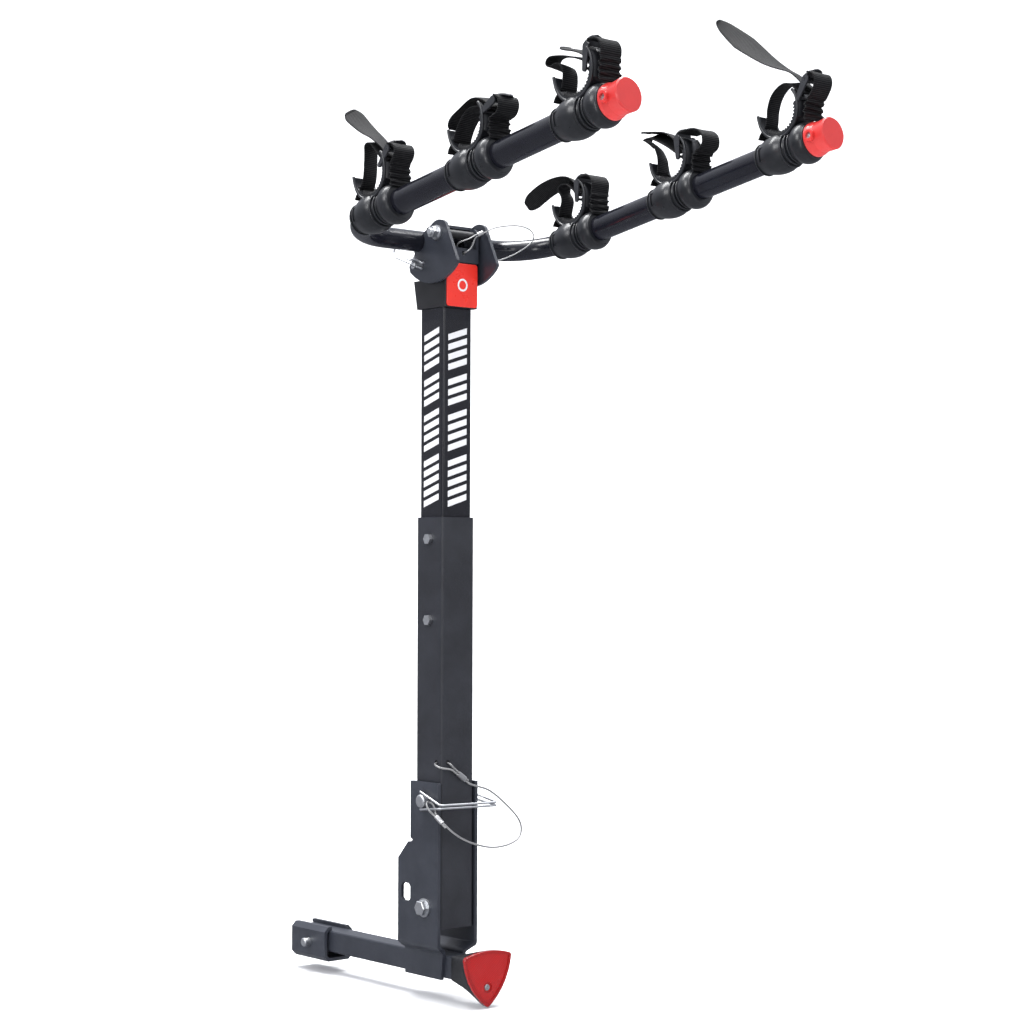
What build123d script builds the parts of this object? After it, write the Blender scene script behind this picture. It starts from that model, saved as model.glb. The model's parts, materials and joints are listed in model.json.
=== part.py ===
"""Hitch mounted bike rack for three bikes.

Frame: +X to the right of the car, +Y towards the car, +Z up, in millimetres. The origin is where
the hitch bolt crosses the axis of the 2 inch adapter. The rack is drawn as it is carried: mast
upright and pinned, arms raised and pinned.
"""

import os
from math import atan2, cos, degrees, radians, sin

from build123d import *

os.makedirs("parts", exist_ok=True)

# ---- hitch end
ADAPTER_SIZE = 50.8  # fits a 2 inch receiver
ADAPTER_WALL = 5.0
ADAPTER_CHAMFER = 7.0
ADAPTER_SLOT = 24.0  # open gap along the top
ADAPTER_REAR = -40.0
ADAPTER_FRONT = 44.0
HITCH_BOLT_R = 6.35
INSERT_SIZE = 31.75  # fits a 1 1/4 inch receiver
INSERT_WALL = 3.2
INSERT_Z = 4.5
INSERT_FRONT = 40.0
MAST_Y = -290.0  # the mast's axis, behind the hitch bolt
INSERT_REAR = MAST_Y - 38.0

# ---- base bracket: two joggled plates
PLATE_T = 4.8
PLATE_INNER_X = 30.5
PLATE_TOP = 260.0
PLATE_REAR = -30.0  # the bracket's y values are counted from the mast's axis
PLATE_FRONT = 32.0
PLATE_FOOT_FRONT = 60.0
PLATE_BOTTOM = -13.6
TILT_Z = 86.0  # axis that the mast tilts about
TILT_R = 6.35
LOCK_Z = 234.0  # hitch pin that holds the mast upright
LOCK_R = 6.35
RUNNING = 0.05  # radial clearance of a shaft that turns in its hole
CLEAR = 0.35  # gap between pieces that pass each other

# ---- mast
LOWER_SIZE = 57.15
LOWER_WALL = 3.05
LOWER_BOTTOM = 58.0
LOWER_TOP = 627.0
UPPER_SIZE = 50.8
UPPER_WALL = 2.5
UPPER_BOTTOM = 440.0
UPPER_TOP = 990.0
MAST_BOLT_Z = (484.3, 596.8)
MAST_BOLT_R = 4.0

# ---- mast head and arm pivot
PIVOT_Y = -26.0
PIVOT_Z = 1018.5
PIVOT_R = 4.76
EAR_T = 3.3
CHEEK_INNER_X = 32.8
CHEEK_T = 4.8
CHEEK_LOBE_R = 17.0
ARM_LOCK_Y = 10.0
ARM_LOCK_Z = 975.0
ARM_LOCK_R = 4.76

# ---- arms
ARM_X = 176.0
ARM_TILT = 9.5  # degrees that the arms rise towards their tips
BAR_Y = 16.0  # crossbar, from the mast's axis
BAR_Z = 1010.5
BAR_R = 14.5
BAR_WALL = 2.5
BEND_R = 80.0
ARM_R = 17.5
ARM_START = 81.0  # along the arm, from the crossbar's axis
ARM_END = 572.0
CRADLE_STATIONS = (101.0, 304.0, 507.0)

# ---- cradles and their straps, in (along the arm, away from the arm) from the cradle's station
CUP_CENTRE = 49.0
CUP_INNER_R = 29.5
CUP_OUTER_R = 35.0
CUP_HALF = 16.0
PAD_T = 3.0
STRAP_W = 25.0
STRAP_T = 1.6
ANCHOR_W = 38.0
ANCHOR_T = 3.0


def side_plane(x):
    """Upright plane at x: local x is +Y from the mast's axis, local y is height, normal +X."""
    return Plane(origin=(x, MAST_Y, 0), x_dir=(0, 1, 0), z_dir=(1, 0, 0))


def level_plane(z):
    """Level plane at height z, centred on the mast's axis."""
    return Plane(origin=(0, MAST_Y, z))


ALONG = Vector(0, -cos(radians(ARM_TILT)), sin(radians(ARM_TILT)))
AWAY = Vector(0, sin(radians(ARM_TILT)), cos(radians(ARM_TILT)))
BAR_CORNER = Vector(0, MAST_Y + BAR_Y, BAR_Z)


def arm_side(x, station):
    """Plane through an arm's axis: local x runs out along the arm, local y away, normal -X."""
    return Plane(origin=BAR_CORNER + Vector(x, 0, 0) + ALONG * station, x_dir=ALONG, z_dir=(-1, 0, 0))


def arm_section(x, station):
    """Plane across an arm, normal pointing out along it."""
    return Plane(origin=BAR_CORNER + Vector(x, 0, 0) + ALONG * station, x_dir=(1, 0, 0), z_dir=ALONG)


def save(piece, name):
    piece.label = name
    export_step(piece, f"parts/{name}.step")


# ---------------------------------------------------------------- hitch adapter, bolt and insert
adapter_inner = ADAPTER_SIZE - 2 * ADAPTER_WALL
with BuildPart() as hitch_adapter:
    with BuildSketch(Plane.XZ.offset(-ADAPTER_FRONT)):
        Rectangle(ADAPTER_SIZE, ADAPTER_SIZE)
        chamfer(vertices(), ADAPTER_CHAMFER)
        with BuildSketch(mode=Mode.SUBTRACT):
            Rectangle(adapter_inner, adapter_inner)
            chamfer(vertices(), ADAPTER_CHAMFER - 0.586 * ADAPTER_WALL)
        with Locations((0, ADAPTER_SIZE / 2)):
            Rectangle(ADAPTER_SLOT, 4 * ADAPTER_WALL, mode=Mode.SUBTRACT)
    extrude(amount=ADAPTER_FRONT - ADAPTER_REAR)
    with BuildSketch(Plane.YZ):
        Circle(HITCH_BOLT_R + 0.1)
    extrude(amount=ADAPTER_SIZE, both=True, mode=Mode.SUBTRACT)
save(hitch_adapter.part, "hitch_adapter")

with BuildPart() as insert_tube:
    with BuildSketch(Plane.XZ.offset(-INSERT_FRONT)):
        with Locations((0, INSERT_Z)):
            RectangleRounded(INSERT_SIZE, INSERT_SIZE, 3)
            inside = INSERT_SIZE - 2 * INSERT_WALL
            RectangleRounded(inside, inside, 1, mode=Mode.SUBTRACT)
    extrude(amount=INSERT_FRONT - INSERT_REAR)
    with BuildSketch(Plane.YZ):
        Circle(HITCH_BOLT_R + 0.1)
    extrude(amount=ADAPTER_SIZE, both=True, mode=Mode.SUBTRACT)
save(insert_tube.part, "insert_tube")

HITCH_HEAD_X = ADAPTER_SIZE / 2 + 2.2
with BuildPart() as hitch_bolt:
    with BuildSketch(Plane.YZ.offset(HITCH_HEAD_X)):
        RegularPolygon(9.5, 6, major_radius=False)
    extrude(amount=8)
    chamfer(faces().sort_by(Axis.X)[-1].edges(), 1)
    with BuildSketch(Plane.YZ.offset(-36)):
        Circle(HITCH_BOLT_R)
    extrude(amount=36 + HITCH_HEAD_X)
    chamfer(faces().sort_by(Axis.X)[0].edges(), 1.2)
    with BuildSketch(Plane.XY):
        with Locations((-31.5, 0)):
            Circle(1.7)
    extrude(amount=HITCH_BOLT_R + 1, both=True, mode=Mode.SUBTRACT)
save(hitch_bolt.part, "hitch_bolt")

with BuildPart() as hitch_bolt_washer:
    with BuildSketch(Plane.YZ.offset(ADAPTER_SIZE / 2)):
        Circle(12)
        Circle(HITCH_BOLT_R + 0.1, mode=Mode.SUBTRACT)
    extrude(amount=2.1)
save(hitch_bolt_washer.part, "hitch_bolt_washer")

# ------------------------------------------------------------------------ base bracket plates
# Each plate stands beside the mast, steps in over the insert and hugs the insert's side.
half_t = PLATE_T / 2
foot_x = INSERT_SIZE / 2 + half_t
stand_x = PLATE_INNER_X + half_t
SLOT_Y, SLOT_Z, SLOT_W, SLOT_H = 42.0, 103.6, 20.0, 25.0


def base_plate_outline():
    """Side view of a base plate, y from the mast's axis."""
    Polyline(
        (PLATE_REAR, 31),
        (PLATE_REAR, PLATE_TOP),
        (PLATE_FRONT, PLATE_TOP),
        (PLATE_FRONT, 181),
        (27, 177.5),
        (31, 174.5),
        (37, 174.5),
        (PLATE_FOOT_FRONT, 150),
        (PLATE_FOOT_FRONT, 36),
        (PLATE_FOOT_FRONT + 2, 20),
        (PLATE_FOOT_FRONT + 2, PLATE_BOTTOM),
        (-19.5, PLATE_BOTTOM),
        (-23, 22),
        close=True,
    )


def slot_outline():
    """Upright slot with cut corners near the foot's front edge."""
    w, h = SLOT_W / 2, SLOT_H / 2
    cut = 4.0
    points = [(w, h - cut), (w - cut, h), (cut - w, h), (-w, h - cut)]
    points += [(-a, -b) for a, b in points]
    Polyline(*[(SLOT_Y + a, SLOT_Z + b) for a, b in points], close=True)


for side, name in ((-1, "base_plate_left"), (1, "base_plate_right")):
    with BuildPart() as base_plate:
        with BuildSketch(Plane.XZ.offset(-MAST_Y - PLATE_FOOT_FRONT - 5)):
            with BuildLine():
                FilletPolyline(
                    (side * foot_x, PLATE_BOTTOM - 1),
                    (side * foot_x, 23.5),
                    (side * stand_x, 33.5),
                    (side * stand_x, PLATE_TOP + 1),
                    radius=5,
                )
            trace(line_width=PLATE_T)
        extrude(amount=PLATE_FOOT_FRONT - PLATE_REAR + 10)
        with BuildSketch(side_plane(0)):
            with BuildLine():
                base_plate_outline()
            make_face()
            rounded = vertices().group_by(Axis.Y)[-1] + vertices().sort_by(Axis.X)[-4:]
            fillet(rounded, 1.5)
            with BuildLine():
                slot_outline()
            make_face(mode=Mode.SUBTRACT)
            with Locations((0, TILT_Z)):
                Circle(TILT_R + RUNNING, mode=Mode.SUBTRACT)
            with Locations((0, LOCK_Z)):
                Circle(LOCK_R + RUNNING, mode=Mode.SUBTRACT)
        extrude(amount=60, both=True, mode=Mode.INTERSECT)
    save(base_plate.part, name)

# ------------------------------------------------------------------------------ rear reflector
REFLECTOR_Y = INSERT_REAR - 57
REFLECTOR_HALF = 36.5  # to the middles of the round corners
REFLECTOR_TOP_Z = 25.0
REFLECTOR_TIP_Z = -36.5
REFLECTOR_CORNER = 5.0
REFLECTOR_FRONT = -2.0  # lens faces and the housing's front, from REFLECTOR_Y
REFLECTOR_BACK = 2.0
SCREW_Z = -15.0


def reflector_line():
    """Triangle with bowed sides, point down, that the corner radius is later laid round."""
    top = ThreePointArc(
        (-REFLECTOR_HALF, REFLECTOR_TOP_Z),
        (0, REFLECTOR_TOP_Z + 5.3),
        (REFLECTOR_HALF, REFLECTOR_TOP_Z),
    )
    right = ThreePointArc(top @ 1, (22.5, -13), (0, REFLECTOR_TIP_Z))
    ThreePointArc(right @ 1, (-22.5, -13), top @ 0)


with BuildPart() as reflector_housing:
    with BuildSketch(Plane.XZ.offset(-REFLECTOR_Y - REFLECTOR_BACK)):
        with BuildLine():
            reflector_line()
        make_face()
        offset(amount=REFLECTOR_CORNER - 0.6, kind=Kind.ARC)
    extrude(amount=-5)
    with BuildSketch(Plane.XZ.offset(-REFLECTOR_Y - REFLECTOR_BACK - 5)):
        with BuildLine():
            reflector_line()
        make_face()
        offset(amount=REFLECTOR_CORNER - 0.6, kind=Kind.ARC)
    with BuildSketch(Plane.XZ.offset(-INSERT_REAR)):
        with Locations((0, INSERT_Z)):
            RectangleRounded(INSERT_SIZE + 3, INSERT_SIZE + 3, 4)
    loft()
    with BuildSketch(Plane.XZ.offset(-INSERT_REAR)):
        with Locations((0, INSERT_Z)):
            plug = INSERT_SIZE - 2 * INSERT_WALL - 0.4
            RectangleRounded(plug, plug, 1)
    extrude(amount=-28)
    with BuildSketch(Plane.XZ.offset(-REFLECTOR_Y - REFLECTOR_BACK)):
        with Locations((0, SCREW_Z)):
            Circle(2.1)
    extrude(amount=-14, mode=Mode.SUBTRACT)
save(reflector_housing.part, "reflector_housing")

with BuildPart() as reflector_lens:
    with BuildSketch(Plane.XZ.offset(-REFLECTOR_Y - REFLECTOR_BACK)):
        with BuildLine():
            reflector_line()
        make_face()
        offset(amount=REFLECTOR_CORNER, kind=Kind.ARC)
    extrude(amount=REFLECTOR_BACK - REFLECTOR_FRONT)
    chamfer(faces().sort_by(Axis.Y)[0].edges(), 0.8)
    # Sunk field inside a raised rim, and a round recess for the screw.
    with BuildSketch(Plane.XZ.offset(-REFLECTOR_Y - REFLECTOR_FRONT)):
        with BuildLine():
            reflector_line()
        make_face()
        offset(amount=REFLECTOR_CORNER - 4.4, kind=Kind.ARC)
    extrude(amount=-1.5, mode=Mode.SUBTRACT)
    with BuildSketch(Plane.XZ.offset(-REFLECTOR_Y - REFLECTOR_FRONT)):
        with Locations((0, SCREW_Z)):
            Circle(7.5)
    extrude(amount=-2.8, mode=Mode.SUBTRACT)
    with BuildSketch(Plane.XZ.offset(-REFLECTOR_Y - REFLECTOR_FRONT)):
        with Locations((0, SCREW_Z)):
            Circle(4.5)
    extrude(amount=-6, mode=Mode.SUBTRACT)
save(reflector_lens.part, "reflector_lens")

with BuildPart() as reflector_screw:
    with BuildSketch(Plane.XZ.offset(-REFLECTOR_Y - REFLECTOR_BACK)):
        with Locations((0, SCREW_Z)):
            Circle(4.2)
    extrude(amount=2.2)
    fillet(faces().sort_by(Axis.Y)[0].edges(), 0.9)
    with BuildSketch(Plane.XZ.offset(-REFLECTOR_Y - REFLECTOR_BACK)):
        with Locations((0, SCREW_Z)):
            Circle(2.05)
    extrude(amount=-12)
    with BuildSketch(Plane.XZ.offset(-REFLECTOR_Y - REFLECTOR_BACK + 2.2)):
        with Locations((0, SCREW_Z)):
            Rectangle(5, 1)
            Rectangle(1, 5)
    extrude(amount=-1.1, mode=Mode.SUBTRACT)
save(reflector_screw.part, "reflector_screw")

# -------------------------------------------------------------------------- mast tilt pivot
plate_outer = PLATE_INNER_X + PLATE_T
with BuildPart() as tilt_bolt:
    with BuildSketch(side_plane(-plate_outer - 2)):
        with Locations((0, TILT_Z)):
            RegularPolygon(9.5, 6, major_radius=False)
    extrude(amount=-8)
    chamfer(faces().sort_by(Axis.X)[0].edges(), 1.2)
    with BuildSketch(side_plane(-plate_outer - 2)):
        with Locations((0, TILT_Z)):
            Circle(TILT_R)
    extrude(amount=2 * plate_outer + 20)
    chamfer(faces().sort_by(Axis.X)[-1].edges(), 1)
save(tilt_bolt.part, "tilt_bolt")

with BuildPart() as tilt_nut:
    with BuildSketch(side_plane(plate_outer + 2)):
        with Locations((0, TILT_Z)):
            RegularPolygon(9.5, 6, major_radius=False)
            Circle(TILT_R, mode=Mode.SUBTRACT)
    extrude(amount=11)
save(tilt_nut.part, "tilt_nut")

with BuildPart() as tilt_washers:
    for start in (-plate_outer - 2, plate_outer):
        with BuildSketch(side_plane(start)):
            with Locations((0, TILT_Z)):
                Circle(13)
                Circle(TILT_R, mode=Mode.SUBTRACT)
        extrude(amount=2)
save(tilt_washers.part, "tilt_washers")

spacer_t = PLATE_INNER_X - LOWER_SIZE / 2 - CLEAR
with BuildPart() as tilt_spacers:
    for start in (-PLATE_INNER_X, PLATE_INNER_X - spacer_t):
        with BuildSketch(side_plane(start)):
            with Locations((0, TILT_Z)):
                Circle(15)
                Circle(TILT_R, mode=Mode.SUBTRACT)
        extrude(amount=spacer_t)
save(tilt_spacers.part, "tilt_spacers")

BUSH_R = 9.0
with BuildPart() as tilt_bush:
    with BuildSketch(side_plane(-LOWER_SIZE / 2)):
        with Locations((0, TILT_Z)):
            Circle(BUSH_R)
            Circle(TILT_R + RUNNING, mode=Mode.SUBTRACT)
    extrude(amount=LOWER_SIZE)
save(tilt_bush.part, "tilt_bush")

# ------------------------------------------------------------------------------------- mast
LANYARD_HOLE_Z = 288.0
LANYARD_HOLE_Y = -17.0
lower_inner = LOWER_SIZE - 2 * LOWER_WALL
with BuildPart() as lower_mast_tube:
    with BuildSketch(level_plane(LOWER_BOTTOM)):
        RectangleRounded(LOWER_SIZE, LOWER_SIZE, 4)
        RectangleRounded(lower_inner, lower_inner, 1.2, mode=Mode.SUBTRACT)
    extrude(amount=LOWER_TOP - LOWER_BOTTOM)
    with BuildSketch(side_plane(0)):
        with Locations((0, TILT_Z)):
            Circle(BUSH_R)
        with Locations(*[(0, z) for z in MAST_BOLT_Z]):
            Circle(MAST_BOLT_R)
    extrude(amount=LOWER_SIZE, both=True, mode=Mode.SUBTRACT)
    # The lock pin's hole runs out to the car side, so the tube swings clear of a seated pin.
    lock_swing = LOCK_Z - TILT_Z
    with BuildSketch(side_plane(0)):
        with Locations((0, TILT_Z)):
            Circle(lock_swing + LOCK_R + CLEAR)
            Circle(lock_swing - LOCK_R - CLEAR, mode=Mode.SUBTRACT)
        with Locations((LOWER_SIZE / 2, LOCK_Z)):
            Rectangle(LOWER_SIZE, 60, mode=Mode.INTERSECT)
        with Locations((0, LOCK_Z)):
            Circle(LOCK_R + CLEAR)
    extrude(amount=LOWER_SIZE, both=True, mode=Mode.SUBTRACT)
    with BuildSketch(side_plane(-LOWER_SIZE / 2)):
        with Locations((LANYARD_HOLE_Y, LANYARD_HOLE_Z)):
            Circle(3)
    extrude(amount=LOWER_WALL + 1, both=True, mode=Mode.SUBTRACT)
    with BuildSketch(Plane.XZ.offset(-MAST_Y + LOWER_SIZE / 2)):
        with Locations((LANYARD_HOLE_Y, LANYARD_HOLE_Z)):
            Circle(3)
    extrude(amount=LOWER_WALL + 1, both=True, mode=Mode.SUBTRACT)
save(lower_mast_tube.part, "lower_mast_tube")

upper_inner = UPPER_SIZE - 2 * UPPER_WALL
arm_lock_swing = ((ARM_LOCK_Y - PIVOT_Y) ** 2 + (ARM_LOCK_Z - PIVOT_Z) ** 2) ** 0.5


def arm_lock_path():
    """Space that the seated arm pin sweeps through as the arms fold, in the side view."""
    with Locations((PIVOT_Y, PIVOT_Z)):
        Circle(arm_lock_swing + ARM_LOCK_R + CLEAR)
        Circle(arm_lock_swing - ARM_LOCK_R - CLEAR, mode=Mode.SUBTRACT)
    with Locations((ARM_LOCK_Y + 30, ARM_LOCK_Z + 35)):
        Rectangle(60, 70, mode=Mode.INTERSECT)
    with Locations((ARM_LOCK_Y, ARM_LOCK_Z)):
        Circle(ARM_LOCK_R + CLEAR)


with BuildPart() as upper_mast_tube:
    with BuildSketch(level_plane(UPPER_BOTTOM)):
        RectangleRounded(UPPER_SIZE, UPPER_SIZE, 3.5)
        RectangleRounded(upper_inner, upper_inner, 1.2, mode=Mode.SUBTRACT)
    extrude(amount=UPPER_TOP - UPPER_BOTTOM)
    with BuildSketch(side_plane(0)):
        with Locations(*[(0, z) for z in MAST_BOLT_Z]):
            Circle(MAST_BOLT_R)
    extrude(amount=UPPER_SIZE, both=True, mode=Mode.SUBTRACT)
    with BuildSketch(side_plane(0)):
        arm_lock_path()
    extrude(amount=UPPER_SIZE, both=True, mode=Mode.SUBTRACT)
save(upper_mast_tube.part, "upper_mast_tube")

mast_half = LOWER_SIZE / 2
with BuildPart() as mast_bolts:
    for z in MAST_BOLT_Z:
        with BuildSketch(side_plane(-mast_half)):
            with Locations((0, z)):
                RegularPolygon(6.5, 6, major_radius=False)
        extrude(amount=-5.3)
        with BuildSketch(side_plane(-mast_half)):
            with Locations((0, z)):
                Circle(MAST_BOLT_R)
        extrude(amount=LOWER_SIZE + 9.5)
save(mast_bolts.part, "mast_bolts")

with BuildPart() as mast_nuts:
    for z in MAST_BOLT_Z:
        with BuildSketch(side_plane(mast_half)):
            with Locations((0, z)):
                RegularPolygon(6.5, 6, major_radius=False)
                Circle(MAST_BOLT_R, mode=Mode.SUBTRACT)
        extrude(amount=7)
save(mast_nuts.part, "mast_nuts")

# ------------------------------------------------------------------------- mast lock pin, bail
LOCK_HEAD_X = -plate_outer - 0.3
LOCK_TIP_X = 50.0
with BuildPart() as mast_lock_pin:
    with BuildSketch(side_plane(LOCK_HEAD_X)):
        with Locations((0, LOCK_Z)):
            Circle(9.5)
    extrude(amount=-9.5)
    fillet(faces().sort_by(Axis.X)[0].edges(), 3.5)
    with BuildSketch(side_plane(LOCK_HEAD_X)):
        with Locations((0, LOCK_Z)):
            Circle(LOCK_R)
    extrude(amount=LOCK_TIP_X - LOCK_HEAD_X)
    chamfer(faces().sort_by(Axis.X)[-1].edges(), 1.8)
save(mast_lock_pin.part, "mast_lock_pin")

BAIL_WIRE_R = 1.6
BAIL_AT_HEAD = (12.8, -11.8)  # upper and lower wire, from the pin's axis, over its head
BAIL_AT_LEFT = (-2.8, -7.2)
BAIL_AT_RIGHT = (-4.6, -9.0)
BAIL_AT_TIP = (3.6, -3.6)
BAIL_REAR = -43.0
BAIL_LEFT = -42.0
BAIL_RIGHT = 59.0
with BuildPart() as mast_lock_bail:
    with BuildLine() as bail_path:
        FilletPolyline(
            (BAIL_LEFT, MAST_Y + 1, LOCK_Z + BAIL_AT_HEAD[0]),
            (BAIL_LEFT, MAST_Y + BAIL_REAR, LOCK_Z + BAIL_AT_LEFT[0]),
            (BAIL_RIGHT, MAST_Y + BAIL_REAR, LOCK_Z + BAIL_AT_RIGHT[0]),
            (BAIL_RIGHT, MAST_Y + 3, LOCK_Z + BAIL_AT_TIP[0]),
            (BAIL_RIGHT, MAST_Y + 3, LOCK_Z + BAIL_AT_TIP[1]),
            (BAIL_RIGHT, MAST_Y + BAIL_REAR, LOCK_Z + BAIL_AT_RIGHT[1]),
            (BAIL_LEFT, MAST_Y + BAIL_REAR, LOCK_Z + BAIL_AT_LEFT[1]),
            (BAIL_LEFT, MAST_Y + 1, LOCK_Z + BAIL_AT_HEAD[1]),
            radius=[5, 4.5, 3, 3, 4.5, 5],
        )
    with BuildSketch(Plane(origin=bail_path.line @ 0, z_dir=bail_path.line % 0)):
        Circle(BAIL_WIRE_R)
    sweep(path=bail_path.line)
save(mast_lock_bail.part, "mast_lock_bail")

# --------------------------------------------------------------- mast head, its cover and badge
COVER_BOTTOM = 917.0
COVER_TOP = 957.0
COVER_FRONT_TOP = 979.0
COVER_HALF = 28.9
EAR_INNER_X = UPPER_SIZE / 2
EAR_OUTER_X = EAR_INNER_X + EAR_T
WEB_FRONT = -35.5
WEB_TOP = 999.5
with BuildPart() as mast_head:
    for start in (-EAR_OUTER_X, EAR_INNER_X):
        with BuildSketch(side_plane(start)):
            with BuildLine():
                Polyline(
                    (WEB_FRONT, COVER_FRONT_TOP + 0.5),
                    (WEB_FRONT, PIVOT_Z),
                    (-15, PIVOT_Z),
                    (-8, 992),
                    (25.4, 988),
                    (25.4, COVER_TOP + 0.5),
                    (-25.2, COVER_TOP + 0.5),
                    (-25.2, COVER_FRONT_TOP + 0.5),
                    close=True,
                )
            make_face()
            with Locations((PIVOT_Y, PIVOT_Z)):
                Circle(10)
                Circle(PIVOT_R + RUNNING, mode=Mode.SUBTRACT)
            with BuildSketch(mode=Mode.SUBTRACT):
                arm_lock_path()
        extrude(amount=EAR_T)
    with BuildSketch(Plane.XZ.offset(-MAST_Y - WEB_FRONT)):
        with Locations((0, (COVER_FRONT_TOP + 0.5 + WEB_TOP) / 2)):
            Rectangle(2 * EAR_OUTER_X, WEB_TOP - COVER_FRONT_TOP - 0.5)
        with Locations((2.0, 992.6)):
            Circle(3.0, mode=Mode.SUBTRACT)
    extrude(amount=-EAR_T)
    with BuildSketch(level_plane(COVER_FRONT_TOP + 0.5)):
        with Locations((0, (WEB_FRONT - UPPER_SIZE / 2) / 2)):
            Rectangle(2 * EAR_INNER_X, -WEB_FRONT - UPPER_SIZE / 2)
    extrude(amount=3)
save(mast_head.part, "mast_head")

with BuildPart() as head_cover:
    with BuildSketch(side_plane(-COVER_HALF)):
        with BuildLine():
            Polyline(
                (-34, COVER_BOTTOM),
                (29, COVER_BOTTOM),
                (36.5, COVER_TOP),
                (-25.6, COVER_TOP),
                (-25.6, COVER_FRONT_TOP),
                (-34, COVER_FRONT_TOP),
                close=True,
            )
        make_face()
    extrude(amount=2 * COVER_HALF)
    fillet(edges().filter_by(Axis.Z).group_by(Axis.Y)[0], 2.5)
    with BuildSketch(level_plane(COVER_BOTTOM)):
        RectangleRounded(UPPER_SIZE + 0.2, UPPER_SIZE + 0.2, 3.4)
    extrude(amount=COVER_FRONT_TOP - COVER_BOTTOM, mode=Mode.SUBTRACT)
save(head_cover.part, "head_cover")

with BuildPart() as head_badge:
    with BuildSketch(Plane.XZ.offset(-MAST_Y + 34)):
        with Locations((0, 948)):
            Rectangle(54, 60)
            fillet(vertices(), 4.5)
    extrude(amount=2)
    fillet(faces().sort_by(Axis.Y)[0].edges(), 0.8)
save(head_badge.part, "head_badge")

with BuildPart() as arm_pivot_sleeve:
    with BuildSketch(side_plane(-EAR_INNER_X)):
        with Locations((PIVOT_Y, PIVOT_Z)):
            Circle(6.2)
            Circle(PIVOT_R + RUNNING, mode=Mode.SUBTRACT)
    extrude(amount=2 * EAR_INNER_X)
save(arm_pivot_sleeve.part, "arm_pivot_sleeve")

# ----------------------------------------------------------------- arm yoke: cheeks and bridge
CHEEK_OUTER_X = CHEEK_INNER_X + CHEEK_T
with BuildPart() as arm_pivot_bolt:
    with BuildSketch(side_plane(CHEEK_OUTER_X)):
        with Locations((PIVOT_Y, PIVOT_Z)):
            RegularPolygon(7.2, 6, major_radius=False)
    extrude(amount=6.4)
    chamfer(faces().sort_by(Axis.X)[-1].edges(), 0.8)
    with BuildSketch(side_plane(CHEEK_OUTER_X)):
        with Locations((PIVOT_Y, PIVOT_Z)):
            Circle(PIVOT_R)
    extrude(amount=-2 * CHEEK_OUTER_X - 14.5)
    chamfer(faces().sort_by(Axis.X)[0].edges(), 0.8)
save(arm_pivot_bolt.part, "arm_pivot_bolt")

with BuildPart() as arm_pivot_nut:
    with BuildSketch(side_plane(-CHEEK_OUTER_X)):
        with Locations((PIVOT_Y, PIVOT_Z)):
            Circle(10)
            Circle(PIVOT_R, mode=Mode.SUBTRACT)
    extrude(amount=-2)
    with BuildSketch(side_plane(-CHEEK_OUTER_X - 2)):
        with Locations((PIVOT_Y, PIVOT_Z)):
            RegularPolygon(7.2, 6, major_radius=False)
            Circle(PIVOT_R, mode=Mode.SUBTRACT)
    extrude(amount=-9)
save(arm_pivot_nut.part, "arm_pivot_nut")

with BuildPart() as arm_pivot_spacers:
    gap = CHEEK_INNER_X - EAR_OUTER_X - CLEAR
    for start in (-CHEEK_INNER_X, CHEEK_INNER_X - gap):
        with BuildSketch(side_plane(start)):
            with Locations((PIVOT_Y, PIVOT_Z)):
                Circle(9.5)
                Circle(PIVOT_R, mode=Mode.SUBTRACT)
        extrude(amount=gap)
save(arm_pivot_spacers.part, "arm_pivot_spacers")


def cheek_outline():
    """Side view of an arm cheek: a lobe at the pivot, a long rear edge and a bowed foot."""
    nose = Line((-44.0, 1030.5), (-70.5, 975.5))
    toe = Line(nose @ 1, (-66.0, 969.6))
    bow = ThreePointArc(toe @ 1, (-14, 950), (34, 969))
    heel = Line(bow @ 1, (36, 977))
    throat = Line(heel @ 1, (23.6, 994))
    horn = Line(throat @ 1, (28, 1002))
    saddle = Line(horn @ 1, (3, 1022))
    shoulder = Line(saddle @ 1, (-14, 1031))
    ThreePointArc(shoulder @ 1, (-29, 1036), nose @ 0)


for side, name in ((-1, "arm_cheek_left"), (1, "arm_cheek_right")):
    with BuildPart() as arm_cheek:
        with BuildSketch(side_plane(side * (CHEEK_INNER_X + CHEEK_T / 2))):
            with BuildLine():
                cheek_outline()
            make_face()
            fillet(vertices().sort_by(Axis.X)[:2], 3)
            fillet(vertices().sort_by(Axis.X)[-2:], 2)
            with Locations((PIVOT_Y, PIVOT_Z)):
                Circle(PIVOT_R, mode=Mode.SUBTRACT)
            with Locations((BAR_Y, BAR_Z)):
                Circle(BAR_R, mode=Mode.SUBTRACT)
            with Locations((ARM_LOCK_Y, ARM_LOCK_Z)):
                Circle(ARM_LOCK_R + RUNNING, mode=Mode.SUBTRACT)
        extrude(amount=CHEEK_T / 2, both=True)
    save(arm_cheek.part, name)

with BuildPart() as cheek_bridge:
    with BuildSketch(side_plane(-CHEEK_INNER_X)):
        with Locations((-9, 1028)):
            Rectangle(24, 4, rotation=-8)
    extrude(amount=2 * CHEEK_INNER_X)
save(cheek_bridge.part, "cheek_bridge")

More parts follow.
